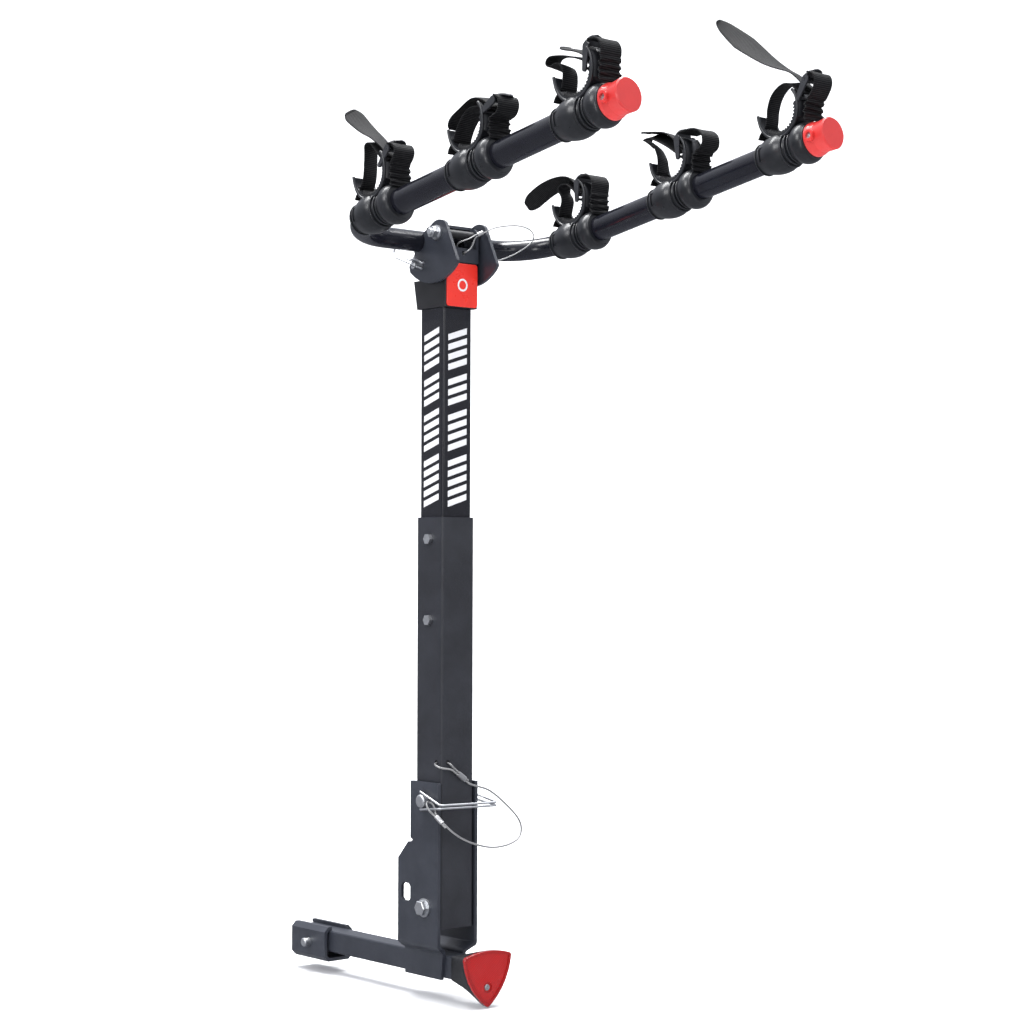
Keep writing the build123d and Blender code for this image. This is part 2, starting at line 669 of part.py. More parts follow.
# --------------------------------------------------------------------------- arm lock and clip
CLIP_TILT = 20.0
CLIP_X = -47.0
CLIP_WIRE_R = 1.25
ARM_LOCK_TIP_X = -52.5
with BuildPart() as arm_lock_pin:
    with BuildSketch(side_plane(CHEEK_OUTER_X + 0.4)):
        with Locations((ARM_LOCK_Y, ARM_LOCK_Z)):
            Circle(8)
    extrude(amount=4)
    fillet(faces().sort_by(Axis.X)[-1].edges(), 1)
    with BuildSketch(side_plane(CHEEK_OUTER_X + 0.4)):
        with Locations((ARM_LOCK_Y, ARM_LOCK_Z)):
            Circle(ARM_LOCK_R)
    extrude(amount=ARM_LOCK_TIP_X - CHEEK_OUTER_X - 0.4)
    chamfer(faces().sort_by(Axis.X)[0].edges(), 1)
    # The cross hole for the clip runs out to the tip, so pin and clip can be drawn on their own.
    with BuildSketch(side_plane(CLIP_X + CLIP_WIRE_R + 0.35)):
        with Locations((ARM_LOCK_Y, ARM_LOCK_Z)):
            Rectangle(30, 2 * CLIP_WIRE_R + 0.7, rotation=CLIP_TILT)
    extrude(amount=-30, mode=Mode.SUBTRACT)
save(arm_lock_pin.part, "arm_lock_pin")

clip_axis = Plane(
    origin=(CLIP_X, MAST_Y + ARM_LOCK_Y, ARM_LOCK_Z),
    x_dir=(0, cos(radians(CLIP_TILT)), sin(radians(CLIP_TILT))),
    z_dir=(-1, 0, 0),
)
with BuildPart() as arm_lock_clip:
    with BuildLine(clip_axis) as clip_path:
        FilletPolyline(
            (-16, 0),
            (48, 0),
            (55, -6),
            (53, -14),
            (44, -13),
            (30, -4.6),
            (14, -4.6),
            (8, -7.6),
            (0, -8.7),
            (-7, -8.1),
            (-12, -7.1),
            (-16.5, -9.2),
            radius=[6, 4, 4, 5, 12, 4, 5, 10, 4, 2.5],
        )
    with BuildSketch(Plane(origin=clip_path.line @ 0, z_dir=clip_path.line % 0)):
        Circle(CLIP_WIRE_R)
    sweep(path=clip_path.line)
save(arm_lock_clip.part, "arm_lock_clip")

# ------------------------------------------------------------------------ crossbar and arms
# The crossbar is one bent tube. Its legs reach into the arms, which sleeve over them.
with BuildPart() as crossbar_tube:
    with BuildLine() as bar_path:
        FilletPolyline(
            BAR_CORNER + Vector(-ARM_X, 0, 0) + ALONG * 150,
            BAR_CORNER + Vector(-ARM_X, 0, 0),
            BAR_CORNER + Vector(ARM_X, 0, 0),
            BAR_CORNER + Vector(ARM_X, 0, 0) + ALONG * 150,
            radius=BEND_R,
        )
    with BuildSketch(Plane(origin=bar_path.line @ 0, z_dir=bar_path.line % 0)):
        Circle(BAR_R)
        Circle(BAR_R - BAR_WALL, mode=Mode.SUBTRACT)
    sweep(path=bar_path.line)
save(crossbar_tube.part, "crossbar_tube")

# Solid stand-in for the bent tube, a little fat, that clears the first collars.
with BuildPart() as bend_room:
    with BuildSketch(Plane(origin=bar_path.line @ 0, z_dir=bar_path.line % 0)):
        Circle(BAR_R + 0.3)
    sweep(path=bar_path.line)

for side, name in ((-1, "arm_tube_left"), (1, "arm_tube_right")):
    with BuildPart() as arm_tube:
        with BuildSketch(arm_section(side * ARM_X, ARM_START)):
            Circle(ARM_R)
            Circle(BAR_R + 0.05, mode=Mode.SUBTRACT)
        extrude(amount=ARM_END - ARM_START)
    save(arm_tube.part, name)

# -------------------------------------------------------------------------------- end caps
CAP_START = 549.3
CAP_END = 581.0
CAP_SCREW = 560.5
CAP_SCREW_X = -20.5
for side, name in ((-1, "end_cap_left"), (1, "end_cap_right")):
    middle = arm_side(side * ARM_X, 0)
    with BuildPart() as end_cap:
        with BuildSketch(middle):
            with BuildLine():
                Polyline(
                    (CAP_START, 0),
                    (CAP_START, 21.6),
                    (CAP_START + 1, 22.4),
                    (CAP_START + 5, 22.4),
                    (CAP_START + 13, 20.2),
                    (CAP_START + 18, 20.4),
                    (CAP_END - 2, 21.2),
                    (CAP_END, 19.6),
                    (CAP_END, 0),
                    close=True,
                )
            make_face()
        revolve(axis=Axis(middle.origin, middle.x_dir))
        with BuildSketch(arm_side(side * ARM_X + CAP_SCREW_X - 4.5, 0)):
            with Locations((CAP_SCREW, 0)):
                Circle(7)
        extrude(amount=-8)
        with BuildSketch(arm_section(side * ARM_X, CAP_START)):
            Circle(ARM_R + 0.05)
        extrude(amount=ARM_END - CAP_START + 0.5, mode=Mode.SUBTRACT)
        with BuildSketch(arm_side(side * ARM_X + CAP_SCREW_X - 4.5, 0)):
            with Locations((CAP_SCREW, 0)):
                Circle(4.2)
        extrude(amount=-12, mode=Mode.SUBTRACT)
    save(end_cap.part, name)

with BuildPart() as cap_screws:
    for side in (-1, 1):
        with BuildSketch(arm_side(side * ARM_X + CAP_SCREW_X - 1.5, 0)):
            with Locations((CAP_SCREW, 0)):
                Circle(4.1)
                RegularPolygon(2, 6, major_radius=False, mode=Mode.SUBTRACT)
        extrude(amount=-3)
        with BuildSketch(arm_side(side * ARM_X + CAP_SCREW_X + 1.4, 0)):
            with Locations((CAP_SCREW, 0)):
                Circle(4.1)
        extrude(amount=-1.2)
save(cap_screws.part, "cap_screws")

# ---------------------------------------------------------------------------------- cradles
COLLAR_PROFILE = (
    (-44, 19.6),
    (-40, 20.5),
    (-32, 23.2),
    (-23, 25.6),
    (-14, 26.4),
    (-5, 25.2),
    (2, 21.9),
    (8, 19.6),
    (13, 19.6),
    (18, 22.6),
    (24, 26),
    (30, 27),
    (36, 26),
    (42, 21.6),
)
SLIT_A, SLIT_N, SLIT_TURN = -31.0, 34.6, 26.6  # where the strap leaves the cup, and its slope


def cup_face(inner, outer, lip):
    """Half ring that opens away from the arm, with short upright lips."""
    with Locations((0, CUP_CENTRE)):
        Circle(outer)
    with Locations((0, CUP_CENTRE + lip / 2)):
        Rectangle(2 * outer, lip)
    with Locations((0, CUP_CENTRE)):
        Circle(inner, mode=Mode.SUBTRACT)
    with Locations((0, CUP_CENTRE + 20)):
        Rectangle(2 * inner, 40, mode=Mode.SUBTRACT)
    with Locations((0, CUP_CENTRE + lip + 30)):
        Rectangle(4 * outer, 60, mode=Mode.SUBTRACT)


for side, word in ((-1, "left"), (1, "right")):
    for number, station in enumerate(CRADLE_STATIONS, start=1):
        x = side * ARM_X
        middle = arm_side(x, station)
        with BuildPart() as cradle:
            # Collar round the arm.
            with BuildSketch(middle):
                with BuildLine():
                    profile = Spline(*COLLAR_PROFILE)
                    Polyline(profile @ 1, (42, 0), (-44, 0), profile @ 0)
                make_face()
            revolve(axis=Axis(middle.origin, middle.x_dir))
            # Neck and cup.
            with BuildSketch(arm_side(x + 13, station)):
                with Locations((-1, 17)):
                    Trapezoid(44, 14, 68)
            extrude(amount=26)
            with BuildSketch(arm_side(x + CUP_HALF, station)):
                cup_face(CUP_INNER_R, CUP_OUTER_R, 3)
            extrude(amount=2 * CUP_HALF)
            # Room for the cup's hollow, the arm, the strap and the bent tube.
            with BuildSketch(arm_side(x + CUP_HALF, station)):
                with Locations((0, CUP_CENTRE)):
                    Circle(CUP_INNER_R)
            extrude(amount=2 * CUP_HALF, mode=Mode.SUBTRACT)
            with BuildSketch(arm_section(x, station - 60)):
                Circle(ARM_R + 0.05)
            extrude(amount=120, mode=Mode.SUBTRACT)
            with BuildSketch(arm_side(x + STRAP_W / 2 + 1, station)):
                with Locations((SLIT_A, SLIT_N)):
                    Rectangle(18, 5, rotation=SLIT_TURN)
            extrude(amount=STRAP_W + 2, mode=Mode.SUBTRACT)
            if number == 1:
                add(bend_room.part, mode=Mode.SUBTRACT)
        save(cradle.part, f"cradle_{word}_{number}")

for side, word in ((-1, "left"), (1, "right")):
    with BuildPart() as pads:
        for station in CRADLE_STATIONS:
            with BuildSketch(arm_side(side * ARM_X + 13, station)):
                with BuildLine():
                    outer = CenterArc((0, CUP_CENTRE), CUP_INNER_R - 0.1, 218, 138)
                    inner = CenterArc((0, CUP_CENTRE), CUP_INNER_R - 0.1 - PAD_T, 218, 138)
                    Line(outer @ 0, inner @ 0)
                    Line(outer @ 1, inner @ 1)
                make_face()
            extrude(amount=26)
    save(pads.part, f"cradle_pads_{word}")

# ------------------------------------------------------------------ straps, buckles, anchors
# Everything here lies in the side view of one cradle: (along the arm, away from the arm).
# "up" is the strap from its slit to the buckle, "tail" its free end, "buckle" the two ends of
# the buckle's side, "anchor" the wide webbing from the collar's end round the buckle's far bar.
STRAPS = {
    "left_1": dict(
        up=[(-19, 46), (-15, 60), (-11, 79), (-10, 93), (3, 94), (15, 80)],
        tail=[(21, 82), (7, 98), (-3, 106), (-18, 121), (-41, 148)],
        buckle=[(24, 53), (43, 70)],
        anchor=[(47, 50), (56, 55), (60, 64), (55, 73), (46, 75)],
    ),
    "left_2": dict(
        up=[(-23, 46), (-10, 60), (10, 71)],
        tail=[(30, 77), (12, 81), (-5, 75), (-26, 69), (-40, 58)],
        buckle=[(34, 56), (56, 64)],
        anchor=[(48, 46), (60, 45), (68, 54), (67, 65), (60, 69)],
    ),
    "left_3": dict(
        up=[(-23, 46), (-21, 60), (-29, 71), (-46, 70), (-53, 77), (-45, 86), (-20, 78), (4, 66)],
        tail=[(5, 76), (-15, 84), (-25, 90)],
        buckle=[(20, 46), (27, 72)],
        anchor=[(49, 50), (54, 64), (47, 76), (33, 78)],
    ),
    "right_1": dict(
        up=[(-22, 46), (-16, 60), (-24, 72), (-20, 79), (-8, 80), (4, 72)],
        tail=[(6, 82), (-19, 88), (-52, 86), (-75, 80), (-99, 72)],
        buckle=[(17, 47), (21, 71)],
        anchor=[(49, 50), (54, 64), (46, 76), (28, 77)],
    ),
    "right_2": dict(
        up=[(-25, 46), (-23, 60), (-32, 82), (-50, 87), (-46, 95), (-30, 93), (-4, 75)],
        tail=[(2, 85), (-20, 94), (-51, 104)],
        buckle=[(19, 46), (21, 71)],
        anchor=[(52, 44), (67, 48), (69, 64), (54, 76), (28, 77)],
    ),
    "right_3": dict(
        up=[(-23, 46), (-20, 60), (-10, 77), (8, 85), (24, 82)],
        tail=[(28, 92), (2, 108), (-23, 131), (-54, 164), (-90, 204)],
        buckle=[(36, 55), (53, 76)],
        anchor=[(50, 48), (61, 56), (69, 68), (67, 79), (58, 83)],
    ),
}
TURN_R = 3.6  # strap's loop round the buckle's near bar


def unit(start, end):
    """Unit vector in the side view, as a pair."""
    step = Vector(end[0] - start[0], end[1] - start[1])
    return step.normalized()


def corner_radii(points, largest):
    """One radius for each inner corner, as large as its two runs allow, up to a limit."""
    spots = [Vector(*point) for point in points]
    radii = []
    for before, spot, after in zip(spots, spots[1:], spots[2:]):
        turn = radians((spot - before).get_angle(after - spot))
        shorter = min((spot - before).length, (after - spot).length)
        half = sin(turn / 2) / cos(turn / 2)
        radii.append(min(largest, 0.45 * shorter / half))
    return radii


def strap_route(plan):
    """Points of a strap from its hem outside the slit, round the buckle's bar, to its free end."""
    near, far = plan["buckle"]
    along = unit(near, far)
    bar = Vector(*near) + along * (0.42 * (Vector(*far) - Vector(*near)).length)
    pull = unit(plan["up"][-1], (bar.X, bar.Y))
    lift = Vector(-pull.Y, pull.X)
    if lift.dot(Vector(*plan["tail"][0]) - bar) < 0:
        lift = -lift
    route = [Vector(-40.5, 24.5), Vector(-38, 31), Vector(-27, 36.6)]
    route += [Vector(*point) for point in plan["up"]]
    route.append(bar - lift * TURN_R + pull * TURN_R)
    route.append(bar + lift * TURN_R + pull * TURN_R)
    route += [Vector(*point) for point in plan["tail"]]
    return route, bar


for key, plan in STRAPS.items():
    word, number = key.split("_")
    x = ARM_X if word == "right" else -ARM_X
    station = CRADLE_STATIONS[int(number) - 1]
    route, bar = strap_route(plan)
    with BuildPart() as strap:
        with BuildSketch(arm_side(x + STRAP_W / 2, station)):
            with BuildLine():
                FilletPolyline(*route, radius=corner_radii([tuple(p) for p in route], 12))
            trace(line_width=STRAP_T)
        extrude(amount=STRAP_W)
    save(strap.part, f"strap_{key}")

CHEEK_GAP = STRAP_W / 2 + 0.8
for word, x in (("left", -ARM_X), ("right", ARM_X)):
    plans = [(CRADLE_STATIONS[n - 1], STRAPS[f"{word}_{n}"]) for n in (1, 2, 3)]
    with BuildPart() as anchors:
        for station, plan in plans:
            foot = 19 if station < CRADLE_STATIONS[2] else 24.5  # the last one stands over a cap
            route = [Vector(45.6, foot), Vector(45, 36)]
            route += [Vector(*point) for point in plan["anchor"]]
            with BuildSketch(arm_side(x + ANCHOR_W / 2, station)):
                with BuildLine():
                    FilletPolyline(*route, radius=corner_radii([tuple(p) for p in route], 14))
                trace(line_width=ANCHOR_T)
            extrude(amount=ANCHOR_W)
    save(anchors.part, f"strap_anchors_{word}")
    with BuildPart() as buckles:
        for station, plan in plans:
            near, far = (Vector(*point) for point in plan["buckle"])
            route, bar = strap_route(plan)
            centre = (near + far) * 0.5
            angle = degrees(atan2((far - near).Y, (far - near).X))
            length = (far - near).length
            for start in (x + CHEEK_GAP + 2, x - CHEEK_GAP):
                with BuildSketch(arm_side(start, station)):
                    with Locations(Location((centre.X, centre.Y), angle)):
                        SlotOverall(length + 3, 8.5)
                extrude(amount=2)
            for spot, radius in ((bar, 2.0), (far + (near - far).normalized() * 1.5, 2.2)):
                with BuildSketch(arm_side(x + CHEEK_GAP, station)):
                    with Locations((spot.X, spot.Y)):
                        Circle(radius)
                extrude(amount=2 * CHEEK_GAP)
    save(buckles.part, f"buckles_{word}")

# ---------------------------------------------------------------------------- lanyards, ferrules
# Each is one steel cable. It leaves a ferrule, goes through its holes, comes back through the
# same ferrule and runs on. Points are (x, y from the mast's axis, height).
LOWER_R = 1.4
UPPER_R = 0.9
LOWER_PITCH = 1.6  # half the distance between the two strands in a ferrule
UPPER_PITCH = 1.1
FERRULES = (
    ((-4.3, -33.0, 273.6), (13.8, -33.0, 261.0), (0.571, 0, 0.821), LOWER_R, LOWER_PITCH),
    ((-35.0, -47.0, 201.6), (-41.3, -32.0, 216.4), (0.957, 0.206, 0.203), LOWER_R, LOWER_PITCH),
    ((20.0, -43.0, 1018.2), (28.5, -46.5, 1022.6), (-0.46, 0, 0.888), UPPER_R, UPPER_PITCH),
)
FERRULE_SPANS = ((0.12, 0.78), (0.34, 0.95), (0.1, 0.9))  # of the run, from mouth to mouth


def strand(number, side, before, after):
    """The two ends of one strand of a ferrule, carried straight on past its mouths."""
    start, end, across, _, pitch = FERRULES[number]
    shift = Vector(*across).normalized() * (side * pitch)
    run = (Vector(*end) - Vector(*start)).normalized()
    return Vector(*start) + shift - run * before, Vector(*end) + shift + run * after


def points(*rows):
    return [Vector(*row) for row in rows]


high_in, high_out = strand(0, 1, before=6, after=1)
low_in, low_out = strand(0, -1, before=5, after=6)
far_in, far_out = strand(1, 1, before=9, after=3)
back_in, back_out = strand(1, -1, before=1, after=3)
lower_route = [
    high_out,
    high_in,
    *points(
        (-17, -33.5, 287),
        (-17, -17, 289),
        (-34, -17, 286.5),
        (-34.5, -33, 281.5),
        (-16, -35.5, 279),
    ),
    low_in,
    low_out,
    *points(
        (31.9, -33, 252.8),
        (62, -26, 245),
        (99.8, -24, 217),
        (118, -24, 198.8),
        (120.3, -26, 184),
        (109.8, -30, 171.6),
        (82.3, -34, 165.2),
        (51.3, -38, 165.8),
        (26.1, -40, 172.2),
        (4.3, -41, 179.4),
    ),
    far_in,
    far_out,
    *points(
        (-37.2, -26.5, 222.5),
        (-37.0, -21.0, 232),
        (-43, -16.8, 235.0),
        (-49.5, -21, 232),
        (-49, -28, 223),
    ),
    back_out,
    back_in,
]
top_a, top_b = strand(2, 1, before=4, after=0.5)
under_a, under_b = strand(2, -1, before=4, after=4)
upper_route = [
    top_b,
    top_a,
    *points(
        (8.0, -41.3, 1012.5),
        (-1.5, -40.5, 1009),
        (-7, -34.5, 1006.2),
        (-5.5, -28.2, 999.5),
        (1.8, -28.0, 992.2),
        (2.2, -39.2, 993),
        (9.5, -41, 998),
        (15, -42.0, 1007),
    ),
    under_a,
    under_b,
    *points(
        (35.2, -54.8, 1027.1),
        (49.5, -51, 1031.3),
        (71.2, -46, 1036.1),
        (95.9, -42, 1039.5),
        (118, -38, 1038.2),
        (130.9, -34, 1032.8),
        (134.3, -32, 1026.2),
        (128.2, -30, 1017.4),
        (119.1, -26, 1009.9),
        (105.6, -20, 1001),
        (93.8, -14, 995.3),
        (84, -9.5, 991.5),
        (70, -4, 986),
        (55, -1.2, 981.5),
        (41.5, 1.2, 978.2),
    ),
]

for route, radius, name in (
    (lower_route, LOWER_R, "lower_lanyard"),
    (upper_route, UPPER_R, "upper_lanyard"),
):
    spots = [point + Vector(0, MAST_Y, 0) for point in route]
    radii = corner_radii([tuple(spot) for spot in spots], 60)
    print(name, "radii", [round(r, 1) for r in radii])
    with BuildPart() as cable:
        with BuildLine() as cable_path:
            FilletPolyline(*spots, radius=radii)
        with BuildSketch(Plane(origin=cable_path.line @ 0, z_dir=cable_path.line % 0)):
            Circle(radius)
        sweep(path=cable_path.line)
    length = sum(edge.length for edge in cable_path.line.edges())
    ratio = cable.part.volume / (3.14159 * radius**2 * length)
    print(name, "length", round(length), "volume ratio", round(ratio, 4))
    save(cable.part, name)

with BuildPart() as lanyard_ferrules:
    for (start, end, across, radius, pitch), (low, high) in zip(FERRULES, FERRULE_SPANS):
        begin = Vector(*start) + Vector(0, MAST_Y, 0)
        run = Vector(*end) - Vector(*start)
        with BuildSketch(Plane(origin=begin + run * low, x_dir=across, z_dir=run)):
            SlotOverall(2 * (pitch + radius + 1.1), 2 * (radius + 1.1))
            with Locations((-pitch, 0), (pitch, 0)):
                Circle(radius + 0.06, mode=Mode.SUBTRACT)
        extrude(amount=run.length * (high - low))
save(lanyard_ferrules.part, "lanyard_ferrules")
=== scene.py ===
"""Looks of the hitch mounted bike rack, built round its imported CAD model. Metres, row frame."""

import json
import math

import bpy
from mathutils import Matrix, Vector, noise


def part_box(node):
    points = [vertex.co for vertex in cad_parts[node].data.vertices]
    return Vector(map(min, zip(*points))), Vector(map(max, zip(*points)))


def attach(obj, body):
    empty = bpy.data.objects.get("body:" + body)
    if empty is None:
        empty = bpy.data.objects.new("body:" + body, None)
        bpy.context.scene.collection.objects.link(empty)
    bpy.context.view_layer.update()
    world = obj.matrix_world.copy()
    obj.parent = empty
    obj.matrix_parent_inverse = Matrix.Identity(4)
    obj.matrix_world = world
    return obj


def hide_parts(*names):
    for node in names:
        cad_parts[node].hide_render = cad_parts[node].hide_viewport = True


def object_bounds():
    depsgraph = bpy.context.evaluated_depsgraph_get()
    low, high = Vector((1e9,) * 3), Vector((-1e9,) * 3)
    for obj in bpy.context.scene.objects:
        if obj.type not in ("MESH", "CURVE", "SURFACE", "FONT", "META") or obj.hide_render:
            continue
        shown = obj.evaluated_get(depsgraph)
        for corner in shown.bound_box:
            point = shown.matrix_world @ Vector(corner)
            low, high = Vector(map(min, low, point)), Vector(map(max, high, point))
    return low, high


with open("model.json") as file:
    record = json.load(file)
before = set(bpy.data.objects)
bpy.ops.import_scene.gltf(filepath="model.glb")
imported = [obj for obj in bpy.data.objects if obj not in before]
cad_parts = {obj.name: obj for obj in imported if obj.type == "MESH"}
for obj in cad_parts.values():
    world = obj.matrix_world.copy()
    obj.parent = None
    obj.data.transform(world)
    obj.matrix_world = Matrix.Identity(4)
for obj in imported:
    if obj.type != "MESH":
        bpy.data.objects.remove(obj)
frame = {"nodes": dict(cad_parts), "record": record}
NODES = frame["nodes"]
cad_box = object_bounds()
MM = 0.001

# ------------------------------------------------------------------- dimensions shared with CAD
MAST_Y = -0.290
ARM_X = 0.176
ARM_TILT = math.radians(9.5)
BAR_Y, BAR_Z = MAST_Y + 0.016, 1.0105
STATIONS = (0.101, 0.304, 0.507)
CUP_CENTRE = 49.0
UPPER_HALF = 0.0254

ALONG = Vector((0, -math.cos(ARM_TILT), math.sin(ARM_TILT)))
AWAY = Vector((0, math.sin(ARM_TILT), math.cos(ARM_TILT)))


def arm_point(side, station, a, n, x=0.0):
    """Row-frame point from millimetres along the arm, away from it and across it."""
    corner = Vector((side * ARM_X + x * MM, BAR_Y, BAR_Z))
    return corner + ALONG * (station + a * MM) + AWAY * (n * MM)


# --------------------------------------------------------------------------- material helpers
class Mat:
    """A node material: a Principled shader and short ways to add what feeds it."""

    def __init__(self, name, color, roughness, metallic=0.0, **fixed):
        self.mat = bpy.data.materials.new(name)
        self.mat.use_nodes = True
        self.tree = self.mat.node_tree
        self.bsdf = self.tree.nodes["Principled BSDF"]
        self.coords = self.node("ShaderNodeTexCoord")
        self.bsdf.inputs["Base Color"].default_value = (*color, 1)
        self.bsdf.inputs["Roughness"].default_value = roughness
        self.bsdf.inputs["Metallic"].default_value = metallic
        for key, value in fixed.items():
            self.bsdf.inputs[key.replace("_", " ")].default_value = value
        self.height = None

    def node(self, kind, **inputs):
        made = self.tree.nodes.new(kind)
        for key, value in inputs.items():
            made.inputs[key].default_value = value
        return made

    def link(self, a, b):
        self.tree.links.new(a, b)

    def noise(self, scale, detail=3.0, rough=0.55, stretch=None, coords="Object"):
        source = self.coords.outputs[coords]
        if stretch:
            mapping = self.node("ShaderNodeMapping")
            mapping.inputs["Scale"].default_value = stretch
            self.link(source, mapping.inputs["Vector"])
            source = mapping.outputs["Vector"]
        made = self.node("ShaderNodeTexNoise", Scale=scale, Detail=detail, Roughness=rough)
        self.link(source, made.inputs["Vector"])
        return made.outputs["Fac"]

    def ramp(self, value, low, high, a=0.0, b=1.0):
        made = self.node("ShaderNodeMapRange")
        made.inputs["From Min"].default_value = low
        made.inputs["From Max"].default_value = high
        made.inputs["To Min"].default_value = a
        made.inputs["To Max"].default_value = b
        self.link(value, made.inputs["Value"])
        return made.outputs["Result"]

    def mix(self, factor, one, two):
        made = self.node("ShaderNodeMix")
        made.data_type = "RGBA"
        self.link(factor, made.inputs["Factor"])
        for socket, value in ((6, one), (7, two)):
            if isinstance(value, bpy.types.NodeSocket):
                self.link(value, made.inputs[socket])
            else:
                made.inputs[socket].default_value = (*value, 1)
        return made.outputs[2]

    def math(self, kind, a, b):
        made = self.node("ShaderNodeMath")
        made.operation = kind
        for socket, value in ((0, a), (1, b)):
            if isinstance(value, bpy.types.NodeSocket):
                self.link(value, made.inputs[socket])
            else:
                made.inputs[socket].default_value = value
        return made.outputs[0]

    def colour(self, socket):
        self.link(socket, self.bsdf.inputs["Base Color"])

    def roughness(self, socket):
        self.link(socket, self.bsdf.inputs["Roughness"])

    def bump(self, value, distance, strength=1.0):
        made = self.node("ShaderNodeBump", Strength=strength, Distance=distance)
        self.link(value, made.inputs["Height"])
        if self.height is not None:
            self.link(self.height, made.inputs["Normal"])
        self.height = made.outputs["Normal"]
        self.link(self.height, self.bsdf.inputs["Normal"])


def powder_coat(name, base, dust, rough, grain, grain_depth, sheen):
    m = Mat(name, base, rough, **{"Specular_IOR_Level": sheen})
    blotch = m.noise(14, 4, 0.6)
    m.colour(m.mix(m.ramp(blotch, 0.35, 0.75), base, dust))
    m.roughness(m.ramp(m.noise(40, 5, 0.7), 0.3, 0.8, rough - 0.06, rough + 0.1))
    m.bump(m.noise(grain, 2, 0.5), grain_depth)
    m.bump(m.noise(110, 2, 0.4), 0.00012, 0.5)
    return m.mat


def metal(name, base, tint, rough, brushed):
    m = Mat(name, base, rough, metallic=1.0)
    m.colour(m.mix(m.ramp(m.noise(90, 5, 0.7), 0.35, 0.7), base, tint))
    m.roughness(m.ramp(m.noise(260, 4, 0.6, brushed), 0.3, 0.75, rough - 0.08, rough + 0.16))
    m.bump(m.noise(900, 3, 0.6, brushed), 0.00005, 0.7)
    return m.mat


def plastic(name, base, other, rough, grain=1500, depth=0.00003, coat=0.0):
    m = Mat(name, base, rough, **{"Coat_Weight": coat, "Coat_Roughness": 0.15})
    m.colour(m.mix(m.ramp(m.noise(35, 4, 0.6), 0.35, 0.75), base, other))
    m.roughness(m.ramp(m.noise(70, 4, 0.6), 0.3, 0.75, rough - 0.05, rough + 0.1))
    m.bump(m.noise(grain, 2, 0.5), depth)
    m.bump(m.noise(60, 2, 0.4), 0.00015, 0.35)
    return m.mat


def webbing(name, base, rib_highlight_and_speck):
    """Nylon webbing: ribs across the strap and two fine warp lines along it, from its UV; the rib crests
    carry a painted highlight.
    """
    m = Mat(name, base, 0.7, **{"Specular_IOR_Level": 0.22})
    split = m.node("ShaderNodeSeparateXYZ")
    m.link(m.coords.outputs["UV"], split.inputs[0])
    along, across = split.outputs[0], split.outputs[1]
    # UV is in millimetres / 10: U along the strap, V across it.
    rib = m.math("SINE", m.math("MULTIPLY", along, 2 * math.pi * 10 / 2.4), 0)
    warp = m.math("SINE", m.math("MULTIPLY", across, 2 * math.pi * 10 / 1.3), 0)
    cell = m.math("MULTIPLY", rib, warp)
    speck = m.noise(240, 3, 0.6)
    # Painted highlight: the rib crests are painted lighter as if catching light, and the noise adds a random
    # speck tone of the nylon itself.
    rib_highlight_and_speck_tone = m.math("ADD", m.math("MULTIPLY", rib, 0.5), m.math("MULTIPLY", speck, 0.9))
    m.colour(m.mix(m.ramp(rib_highlight_and_speck_tone, 0.1, 1.1), base, rib_highlight_and_speck))
    m.roughness(m.ramp(rib, -1, 1, 0.85, 0.62))
    m.bump(rib, 0.00022, 0.8)
    m.bump(cell, 0.00012, 0.6)
    m.bump(m.noise(2200, 2, 0.5), 0.00006, 0.6)
    return m.mat


def cable(name, base, shade):
    """Stranded steel seen through a clear coat: slanting strands from the curve's UV."""
    m = Mat(name, base, 0.34, metallic=0.25, **{"Coat_Weight": 0.7, "Coat_Roughness": 0.12})
    split = m.node("ShaderNodeSeparateXYZ")
    m.link(m.coords.outputs["UV"], split.inputs[0])
    phase = m.math(
        "ADD", m.math("MULTIPLY", split.outputs[0], 260.0), m.math("MULTIPLY", split.outputs[1], 5.0)
    )
    strand = m.math("SINE", m.math("MULTIPLY", phase, 2 * math.pi), 0)
    m.colour(m.mix(m.ramp(strand, -1, 0.6), shade, base))
    m.roughness(m.ramp(m.noise(500, 3, 0.6), 0.3, 0.7, 0.28, 0.42))
    m.bump(strand, 0.00010, 0.6)
    return m.mat


def reflector(name):
    """Moulded red lens: a close grid of little prisms behind a smooth face."""
    m = Mat(name, (0.55, 0.006, 0.006), 0.12, **{"Coat_Weight": 1.0, "Coat_Roughness": 0.04})
    mapping = m.node("ShaderNodeMapping")
    mapping.inputs["Rotation"].default_value = (0, math.radians(30), 0)
    m.link(m.coords.outputs["Object"], mapping.inputs["Vector"])
    cells = m.node("ShaderNodeTexVoronoi", Scale=420.0, Randomness=0.0)
    m.link(mapping.outputs["Vector"], cells.inputs["Vector"])
    m.colour(m.mix(m.ramp(cells.outputs["Distance"], 0.15, 0.6), (0.46, 0.006, 0.005), (0.24, 0.001, 0.001)))
    m.roughness(m.ramp(m.noise(60, 3, 0.5), 0.3, 0.7, 0.1, 0.24))
    m.bump(cells.outputs["Distance"], 0.0005, 0.5)
    # Painted glow: a faint red emission makes the lens look lit, though a reflector gives no light of its
    # own.
    m.bsdf.inputs["Emission Color"].default_value = (0.6, 0.0, 0.0, 1)
    m.bsdf.inputs["Emission Strength"].default_value = 0.05
    return m.mat


